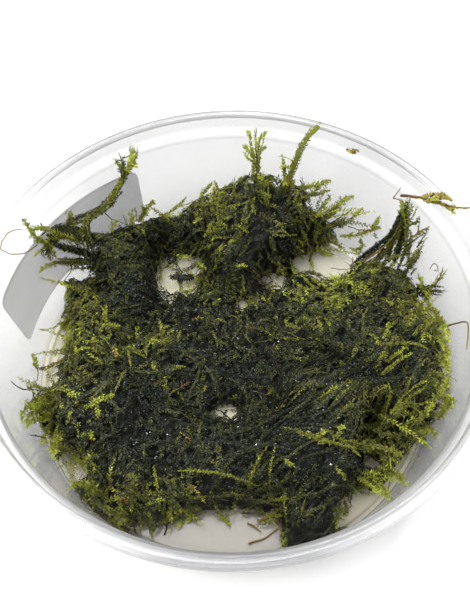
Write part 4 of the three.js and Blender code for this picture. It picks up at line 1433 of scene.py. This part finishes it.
        ("frond", 0.60, 0.82, 1, (436, 392, 16), (446, 400, 18), (452, 404, 19)),
        ("frond", 0.60, 0.80, 1, (430, 412, 15), (438, 414, 17), (444, 412, 18)),
        ("frond", 0.56, 0.78, 1, (424, 424, 14), (432, 430, 16), (438, 436, 18)),
        ("frond", 0.50, 0.76, 1, (256, 502, 6), (250, 508, 5), (242, 512, 4)),
        ("frond", 0.50, 0.76, 1, (280, 508, 6), (272, 514, 4.5), (266, 518, 3)),
        ("frond", 0.44, 0.66, 1, (372, 428, 14), (384, 434, 15), (396, 436, 16), (408, 432, 17)),
        ("frond", 0.50, 0.72, 1, (366, 440, 13), (378, 446, 14), (392, 450, 15), (402, 456, 16)),
        ("frond", 0.44, 0.66, 1, (384, 426, 14), (390, 440, 14), (394, 452, 14), (396, 464, 14)),
        ("frond", 0.40, 0.66, 1, (376, 436, 12), (382, 450, 12), (384, 464, 12), (386, 478, 12)),
        ("twig", 0.94, 0.62, 1, (384, 442, 13), (390, 458, 13), (391, 474, 13), (388, 490, 12),
         (392, 500, 12)),
        ("twig", 0.94, 0.62, 1, (391, 474, 13), (398, 477, 14), (406, 478, 15)),
        ("twig", 0.89, 0.87, 0.9, (272, 520, 4), (278, 527, 4), (284, 536, 3), (290, 543, 3)),
        ("twig", 0.89, 0.87, 0.8, (258, 522, 2.5), (266, 518, 2.5), (277, 516, 3)),
        ("frond", 0.60, 0.78, 1, (296, 432), (316, 437), (338, 444), (356, 448)),
        ("frond", 0.58, 0.76, 1, (322, 428), (336, 436), (350, 446), (360, 456)),
        ("frond", 0.60, 0.78, 1, (344, 440), (362, 444), (380, 450), (396, 454)),
        ("frond", 0.50, 0.70, 1, (376, 428), (384, 410), (392, 396)),
        ("frond", 0.46, 0.68, 1, (370, 424), (376, 408), (382, 392)),
        ("frond", 0.44, 0.64, 1, (388, 426), (398, 412), (408, 400)),
        ("frond", 0.50, 0.70, 0.9, (294, 512, 6), (290, 524, 5), (282, 535, 4)),
        ("frond", 0.60, 0.78, 0.9, (296, 530, 5), (290, 538, 4), (282, 543, 3)),
        ("twig", 0.20, 0.55, 0.9, (284, 506, 7), (287, 518, 5), (280, 527, 3)),
        ("frond", 0.46, 0.68, 0.9, (330, 505, 9), (338, 516, 8), (336, 528, 7)),
    ],
    "lower_left": [
        ("frond", 0.62, 0.80, 0.9, (154, 465), (156, 477), (157, 490)),
        ("shoot", 0.60, 0.80, 1, (145, 505), (155, 501), (165, 500)),
        ("shoot", 0.90, 0.93, 1.1, (171, 511), (181, 510), (190, 511)),
        ("shoot", 0.93, 0.95, 1.1, (115, 490), (121, 496), (127, 503)),
        ("shoot", 0.95, 0.93, 1, (180, 432), (186, 436), (191, 441)),
        ("shoot", 0.95, 0.95, 1, (172, 392), (180, 388), (190, 382)),
        ("shoot", 0.88, 0.88, 1.2, (113, 345), (115, 351), (116, 356)),
        ("shoot", 0.86, 0.86, 1.2, (128, 351), (129, 358), (131, 366)),
        ("frond", 0.66, 0.82, 1.1, (144, 350), (149, 343), (160, 340)),
        ("frond", 0.72, 0.84, 1.3, (84, 408), (93, 403), (104, 398), (114, 395)),
        ("frond", 0.70, 0.82, 1.1, (96, 404), (98, 410), (99, 416)),
        ("frond", 0.66, 0.82, 1.1, (66, 425), (69, 418), (72, 411)),
        ("frond", 0.62, 0.80, 1.1, (80, 437), (88, 434), (94, 440)),
        ("twig", 0.88, 0.60, 1, (66, 320, 3), (56, 326, 7), (46, 330, 9), (39, 329, 9.8)),
        ("fibre", 0.88, 0.60, 1, (67, 325, 2), (60, 331, 2), (57, 335, 2)),
        ("shoot", 0.88, 0.92, 1, (64, 360, 1.9), (54, 364, 3), (44, 369, 5), (36, 368, 7.8)),
        ("shoot", 0.70, 0.84, 1.1, (37, 368, 8), (35, 361, 9.4), (33, 354, 10.6)),
        ("fibre", 0.92, 0.92, 1, (37, 368, 8), (38, 374, 7), (37, 381, 8)),
        ("twig", 0.97, 0.97, 0.9, (62, 383, 2), (50, 391, 2.2), (36, 390, 9), (22, 389, 17),
         (11, 381, 22.8)),
        ("frond", 0.62, 0.84, 1.1, (52, 400, 12), (42, 402, 15), (32, 408, 18), (26, 405, 20)),
        ("frond", 0.62, 0.82, 1.1, (56, 412, 12), (44, 416, 16), (32, 420, 20), (27, 426, 22)),
        ("frond", 0.60, 0.80, 1, (58, 395, 9), (48, 396, 12), (38, 398, 15)),
        ("frond", 0.60, 0.82, 1.1, (62, 430, 12), (58, 440, 14), (54, 450, 16), (55, 460, 18)),
        ("twig", 0.20, 0.10, 0.8, (46, 438, 18), (38, 436, 19.5), (30, 435, 21)),
        ("frond", 0.62, 0.86, 1.1, (76, 444, 10), (82, 452, 10), (92, 460, 10), (100, 470, 9)),
        ("frond", 0.60, 0.84, 1.1, (70, 450, 9), (80, 462, 9), (92, 474, 9)),
        ("frond", 0.52, 0.84, 1.1, (108, 500, 9), (98, 492, 12), (88, 485, 15), (76, 484, 17),
         (68, 489, 20)),
        ("frond", 0.60, 0.86, 1, (104, 492, 8), (94, 486, 10), (84, 482, 13)),
        ("shoot", 0.40, 0.60, 1, (92, 497, 12), (104, 509, 12), (118, 519, 12), (132, 528, 13)),
        ("shoot", 0.40, 0.60, 1, (132, 505, 3), (144, 515, 2.5), (150, 526, 2), (152, 537, 2)),
        ("twig", 0.10, 0.10, 0.9, (164, 535, 2), (167, 527, 2), (171, 517, 2.6)),
        ("twig", 0.10, 0.10, 0.9, (167, 527, 2), (162, 521, 2.4)),
        ("shoot", 0.60, 0.84, 1.1, (217, 512, 2.4), (225, 519, 2), (230, 526, 1.9)),
        ("shoot", 0.58, 0.80, 1.1, (176, 512, 3), (180, 520, 2.4), (178, 528, 2)),
        ("shoot", 0.58, 0.80, 1.1, (196, 512, 3), (192, 517, 2.4), (186, 521, 2)),
        ("shoot", 0.56, 0.78, 1, (136, 514, 3), (139, 521, 2.4), (140, 530, 2)),
        ("frond", 0.60, 0.82, 1, (40, 398, 14), (30, 404, 17), (22, 414, 19.5), (20, 424, 20)),
        ("frond", 0.60, 0.82, 1, (42, 388, 13), (34, 386, 15), (27, 388, 17)),
        ("shoot", 0.66, 0.82, 1, (36, 410, 15), (28, 418, 18), (27, 428, 19)),
        ("frond", 0.56, 0.80, 1, (52, 420, 12), (46, 432, 13), (44, 444, 14)),
        ("frond", 0.60, 0.82, 1, (60, 424, 12), (54, 438, 12), (50, 452, 13)),
        ("frond", 0.50, 0.74, 1, (58, 408, 12), (50, 414, 13), (44, 422, 14)),
        ("frond", 0.50, 0.76, 1, (130, 500, 6), (126, 512, 5), (130, 522, 4)),
        ("frond", 0.50, 0.76, 1, (196, 500, 6), (190, 508, 5), (186, 516, 4)),
    ],
    "right_sprig": [
        ("frond", 0.42, 0.70, 1, (404, 240, 20), (408, 223, 25), (406, 207, 31)),
        ("frond", 0.42, 0.68, 1, (408, 262, 15), (412, 246, 19), (411, 231, 24)),
        ("frond", 0.36, 0.66, 1, (397, 252, 17), (403, 234, 22), (409, 215, 28)),
        ("twig", 0.90, 0.88, 0.9, (362, 262, 12), (378, 252, 17), (392, 238, 22), (401, 222, 27)),
        ("row", 0.14, 0.30, 1, (358, 263, 9), (370, 255, 12.5), (381, 247, 16.5), (392, 238, 21.5),
         (399, 226, 26), (404, 212, 30)),
        ("row", 0.16, 0.34, 1, (396, 262, 14), (400, 248, 18), (403, 235, 22), (405, 220, 27),
         (407, 205, 31.5)),
        ("row", 0.40, 0.60, 1, (390, 262, 13), (391, 250, 17), (396, 240, 21), (402, 230, 24),
         (404, 216, 28)),
        ("shoot", 0.62, 0.78, 1.1, (382, 244, 17), (389, 236, 20.5), (394, 228, 24), (398, 221, 26.5)),
        ("shoot", 0.66, 0.80, 1.1, (403, 214, 29), (402, 206, 31), (402, 200, 32.5)),
        ("shoot", 0.50, 0.80, 1, (408, 216, 29), (411, 209, 31), (411, 204, 32)),
        ("twig", 0.90, 0.88, 0.9, (364, 260, 10), (374, 254, 14), (383, 247, 17.5), (387, 243, 19)),
        ("twig", 0.92, 0.90, 0.9, (370, 260, 11), (377, 256, 14), (380, 248, 16.5)),
        ("frond", 0.56, 0.78, 1, (402, 266, 13), (409, 262, 15), (416, 256, 18), (421, 248, 21)),
        ("frond", 0.50, 0.74, 1, (402, 262, 15), (405, 252, 18), (409, 246, 20), (415, 241, 22)),
        ("twig", 0.50, 0.92, 1, (405, 243, 21), (413, 236, 24), (421, 231, 26), (430, 227, 28)),
        ("twig", 0.35, 0.60, 1, (409, 226, 26), (414, 223, 27.5), (420, 222, 29)),
        ("twig", 0.35, 0.55, 1, (418, 231, 26), (419, 226, 27.5), (419, 221, 29)),
        ("shoot", 0.30, 0.60, 1, (378, 268, 11), (385, 262, 14), (393, 257, 16), (402, 255, 18)),
        ("shoot", 0.55, 0.80, 1, (386, 275, 10), (390, 266, 13), (397, 262, 15)),
        ("shoot", 0.88, 0.82, 1, (404, 216, 28.5), (400, 212, 29), (398, 211, 29)),
        ("twig", 0.20, 0.10, 0.8, (411, 274, 13), (414, 270, 14.5), (417, 268, 16)),
    ],
    "back_sprig_left": [
        ("shoot", 0.50, 0.72, 1, (256, 190, 20), (254, 175, 25), (253, 158, 29.5), (251, 142, 33),
         (250, 131, 35.5)),
        ("shoot", 0.50, 0.72, 1, (258, 190, 20), (258, 172, 26), (259, 155, 30.5), (259, 142, 33.5),
         (262, 133, 35.5)),
        ("twig", 0.95, 0.98, 0.8, (257, 186, 21), (257, 165, 28), (256, 145, 33), (256, 128, 36.6)),
        ("shoot", 0.66, 0.80, 1, (253, 156, 30), (248, 150, 31), (243, 145, 32)),
        ("shoot", 0.66, 0.80, 1, (252, 161, 29), (247, 157, 29.5), (244, 152, 30)),
        ("shoot", 0.66, 0.80, 1, (258, 153, 31), (262, 149, 31.5), (266, 147, 32)),
        ("shoot", 0.60, 0.80, 1, (259, 140, 34), (264, 135, 35), (267, 131, 36)),
        ("shoot", 0.60, 0.80, 1, (251, 140, 33.5), (248, 134, 34.5), (247, 130, 35.3)),
    ],
    "back_sprig_right": [
        ("twig", 0.95, 0.60, 1, (294, 163, 30), (287, 158, 30), (278, 156, 30)),
        ("shoot", 0.50, 0.72, 1.1, (291, 170, 28.5), (285, 166, 28), (280, 168, 27)),
        ("shoot", 0.66, 0.80, 1.2, (310, 135, 37), (315, 130, 38), (319, 127, 38.7)),
    ],
    "left_sprig": [
        ("twig", 0.30, 0.10, 0.9, (121, 172, 33), (122, 162, 34.5), (118, 153, 35.5)),
        ("twig", 0.20, 0.10, 0.8, (122, 161, 34.5), (118, 160, 34), (115, 164, 33)),
        ("shoot", 0.60, 0.80, 1.2, (126, 172, 33), (131, 161, 35), (133, 149, 36.5)),
        ("twig", 0.30, 0.10, 0.8, (122, 158, 35), (128, 156, 35.6), (133, 153, 36)),
        ("shoot", 0.70, 0.80, 1.1, (130, 163, 35), (134, 164, 34.5), (136, 167, 34)),
    ],
    "rim_strand": [
        ("shoot", 0.90, 0.87, 1, (422, 197, 38), (434, 194, 39), (447, 195, 39)),
        ("shoot", 0.89, 0.86, 1, (428, 200, 38), (441, 203, 38.5), (453, 211, 38)),
        ("twig", 0.93, 0.90, 0.8, (393, 198, 32.5), (397, 193, 33.5), (401, 187, 34.5)),
        ("twig", 0.92, 0.90, 0.8, (393, 198, 32.5), (399, 199, 32.5), (404, 203, 32)),
        ("shoot", 0.92, 0.86, 1, (424, 202, 38.5), (432, 197, 39.5), (441, 196, 40), (449, 198, 39.5),
         (453, 200, 39)),
        ("shoot", 0.90, 0.84, 1, (426, 203, 38.5), (434, 199, 39.5), (442, 198, 40), (448, 199, 39.5)),
        ("shoot", 0.86, 0.80, 1, (446, 207, 38.5), (451, 209, 38), (455, 214, 37.5)),
        ("twig", 0.93, 0.93, 0.8, (443, 196, 40), (445, 192, 40.5)),
    ],
}


# Looks of the listed shoots that stand free, with a height at each place, and of those that lie on the mat
SET_IN_AIR = dict(plump=0.29, size=0.9, reach=1.6)
SET_ON_MAT = dict(plump=0.24, size=0.8, reach=1.2)
# How much lighter those that stand free are made on each clump, and on the sprigs and strands: painted
# light and shade, lighter where only the room lights them and darker where they face the key lamp
FREE_SHOOT_PAINTED_LIGHT = {"front": -0.10, "lower_left": -0.07, "right": -0.03, "centre": 0.0}
SPRIG_PAINTED_LIGHT = 0.05
ON_MAT_SHIFT = -0.07
HAND_SET_LIGHTEST = 0.82
BROWN_TONE = 0.85
BROWN_SHIFT = 0.01
HAND_SET_STEP = 0.8
HAND_SET_WAVER = 0.08
HAND_SET_UP_SPREAD = 60
HAND_SET_SPACING = 0.26
SECOND_LEAVES_SPREAD = 0.7
SECOND_LEAVES_SPACING = 0.4
FROND_LEAF = 0.9
FROND_GAP = 0.9
ROW_COUNT = 7
ROW_SPREAD = 0.55
ROW_TONES = (0.05, 0.8)
TWIG_LEAF = 0.7
TWIG_RADII = (0.17, 0.1)
FIBRE_RADII = (0.13, 0.1)


def hand_set(tangle, name):
    """The listed shoots that belong to one piece."""
    for style, root_tone, tip_tone, leaf, *places in HAND_SET.get(name, ()):
        in_air = len(places[0]) == 3
        look = SET_IN_AIR if in_air else SET_ON_MAT
        # Shoots that stand free are made lighter or darker as painted light and shade
        shift = FREE_SHOOT_PAINTED_LIGHT.get(name, SPRIG_PAINTED_LIGHT) if in_air else ON_MAT_SHIFT
        tones = [
            min(tone + shift, HAND_SET_LIGHTEST) if tone < BROWN_TONE else tone + BROWN_SHIFT
            for tone in (root_tone, tip_tone)
        ]
        tangle.plump = look["plump"]
        leaf = leaf * look["size"]
        path = smooth_path([MAT.on_sight_line(*place) for place in places], HAND_SET_STEP)
        path[1:-1] += tangle.rng.normal(0, HAND_SET_WAVER, (len(path) - 2, 3))
        loose_shoot(tangle, style, path, leaf, look["reach"] * leaf, tones)


def loose_shoot(tangle, style, path, leaf, reach, tones):
    """One listed shoot: a feather, a plain shoot, a row of them, a twig with few leaves or a fibre."""
    rng = tangle.rng
    up = unit(np.array(EYE) - path[len(path) // 2] + rng.normal(0, HAND_SET_UP_SPREAD, 3))
    if style == "frond":
        leaf = leaf * FROND_LEAF
        tangle.frond(path, up, leaf, tones, reach, FROND_GAP, HAND_SET_SPACING, ragged=None)
    elif style == "shoot":
        tangle.shoot(path, up, leaf, tones, HAND_SET_SPACING, ragged=None)
    elif style == "row":
        for _ in range(ROW_COUNT):
            shift = rng.normal(0, ROW_SPREAD, 3)
            mixed = np.clip(np.array(tones) + rng.normal(0, 0.09), *ROW_TONES)
            tangle.shoot(path + shift, up + rng.normal(0, 0.4, 3), leaf, mixed, ragged=None)
    elif style == "twig":
        twig_tones = (tones[1], tones[1])
        tangle.leaves(kept_inside(path), up, leaf * TWIG_LEAF, twig_tones, 0.9, start=0.3, spread=40)
        tangle.stem(kept_inside(path), up, TWIG_RADII, tones, sides=4)
    else:
        tangle.stem(kept_inside(path), up, FIBRE_RADII, tones, sides=4)
    if style in ("frond", "shoot"):
        second_up = up + rng.normal(0, SECOND_LEAVES_SPREAD, 3)
        tangle.leaves(kept_inside(path), second_up, leaf, tones, SECOND_LEAVES_SPACING)


# Sprigs and strands, as in the frame: each is a few smooth stems through given points
SPRIGS = {
    "back_sprig_left": [
        [[8, 43, 12], [8.2, 45.5, 22], [8, 47, 30], [7.2, 50, 36.5]],
        [[8.1, 46.8, 29], [9.2, 48, 33], [10, 49.3, 36]],
        [[8.1, 46.2, 26], [6.3, 47.5, 31], [4.8, 48.5, 33]],
    ],
    "back_sprig_right": [
        [[15, 42, 14], [17, 44.5, 25], [20, 47, 34], [23.5, 48.8, 39.4]],
        [[15.8, 43.4, 20], [15.4, 45.5, 25], [14.8, 47, 28.5]],
    ],
    "left_sprig": [
        [[-37, 27, 17], [-37.5, 31, 24], [-32.5, 36.5, 24.5], [-28, 42, 28.5],
         [-25, 44.5, 33], [-24.5, 45.3, 36.6]],
        [[-27.6, 42.2, 29], [-27.3, 43.6, 32], [-28, 44.6, 33]],
    ],
    "right_sprig": [
        [[37, 22, 9], [40.5, 25, 15], [42.3, 26.5, 22], [43.8, 26.8, 29], [44.2, 28, 32.5]],
        [[43, 18, 12], [45, 21, 20], [45.2, 24, 27], [44, 27, 31.5]],
        [[44.8, 21.3, 22], [47.2, 20.4, 27], [48.5, 19.5, 30]],
    ],
}
DRY = {
    "rim_strand": (0.5, [
        [[43.2, 29.6, 32], [46.5, 25.5, 35.5], [49.8, 20.8, 38.2], [53.5, 19.6, 38.2], [57.6, 19.2, 38.2]],
        [[47.6, 24, 36.5], [50.2, 21.6, 39.5], [51.4, 19.3, 41]],
    ]),
    "right_strand": (0.3, [
        [[51.3, -1.2, 19], [52, -3.5, 24], [52.7, -6, 28.3], [52.3, -9, 28], [51.3, -12.4, 27.6]],
    ]),
    "floor_stem_long": (0.3, [[[2, -46, 2.1], [6, -44.8, 2.1], [9, -42.6, 2.3]]]),
    "floor_stem_short": (0.27, [[[2, -41.6, 2.1], [3.5, -42.3, 2.1], [5, -43.6, 2.1]]]),
}
SPRIG_LOOK = {
    "back_sprig_left": dict(seed=21, tones=(0.52, 0.76), strands=1, spread=0.4, leaf=1.25, stem=0.92),
    "back_sprig_right": dict(seed=22, tones=(0.52, 0.72), strands=7, spread=0.7, leaf=1.0, stem=0.95),
    "left_sprig": dict(seed=23, tones=(0.44, 0.66), strands=9, spread=0.8, leaf=1.0, stem=0.3),
    "right_sprig": dict(seed=24, tones=(0.38, 0.62), strands=4, spread=1.2, leaf=1.1, stem=0.3),
}
SPRIG_STEP = 0.9
SPRIG_LEAVES = (0.8, 1.3)
SPRIG_SPACING = 0.44
SPRIG_RADII = (0.22, 0.1)
DRY_STEP = 0.5
DRY_TAPER = (0.75, 0.45)
DRY_STEM_TONES = (0.95, 0.9)
DRY_WAVER = 0.12
LEAFY_RADIUS = 0.4
DRY_SEED = 31


def make_sprig(name, finish):
    """A sprig: each of its stems is a bundle of leafy strands round the stem's line."""
    look = SPRIG_LOOK[name]
    tangle = Tangle(look["seed"])
    rng = tangle.rng
    for number, stem in enumerate(SPRIGS[name]):
        path = smooth_path(stem, SPRIG_STEP)
        strands = look["strands"] if number == 0 else math.ceil(look["strands"] / 2)
        for k in range(strands):
            line = splayed(path, rng, look["spread"], look["spread"], k > 0)
            up = unit(rng.normal(0, 0.6, 3) + (0, -0.9, 0.5))
            tones = (look["tones"][0] + rng.normal(0, 0.09), look["tones"][1] + rng.normal(0, 0.06))
            leaf = look["leaf"] * rng.uniform(*SPRIG_LEAVES)
            tangle.leaves(line, up, leaf, tones, SPRIG_SPACING, spread=44)
            tangle.stem(line[::2], up, SPRIG_RADII, (look["stem"], tones[1]))
    hand_set(tangle, name)
    tangle.object(f"{name}_moss", finish, "moss_shoot", name)


def make_dry(name, finish, seed):
    """A loose dry strand. Only the thickest has leaves."""
    radius, stems = DRY[name]
    tangle = Tangle(seed)
    for stem in stems:
        path = smooth_path(stem, DRY_STEP)
        path[1:-1] += tangle.rng.normal(0, radius * DRY_WAVER, (len(path) - 2, 3))
        radii = (radius * DRY_TAPER[0], radius * DRY_TAPER[1])
        tangle.stem(path, (0.1, 0.2, 1.0), radii, DRY_STEM_TONES, sides=6)
        if radius > LEAFY_RADIUS:
            tangle.leaves(path, (0.1, -0.4, 1.0), 1.1, (0.9, 0.72), 0.4, start=0.1, spread=40)
    hand_set(tangle, name)
    tangle.object(f"{name}_dry", finish, "dry_stem", name)


make_camera()
make_studio()
make_table()
make_tub()
make_label()
moss = wet_moss("wet_moss")
MAT = Mat()
for number, name in enumerate(CLUMPS):
    make_clump(number, name, moss)
shoots = wet_moss("moss_shoots")
for name in SPRIGS:
    make_sprig(name, shoots)
dry = wet_moss("dry_moss")
for number, name in enumerate(DRY):
    make_dry(name, dry, DRY_SEED + number)
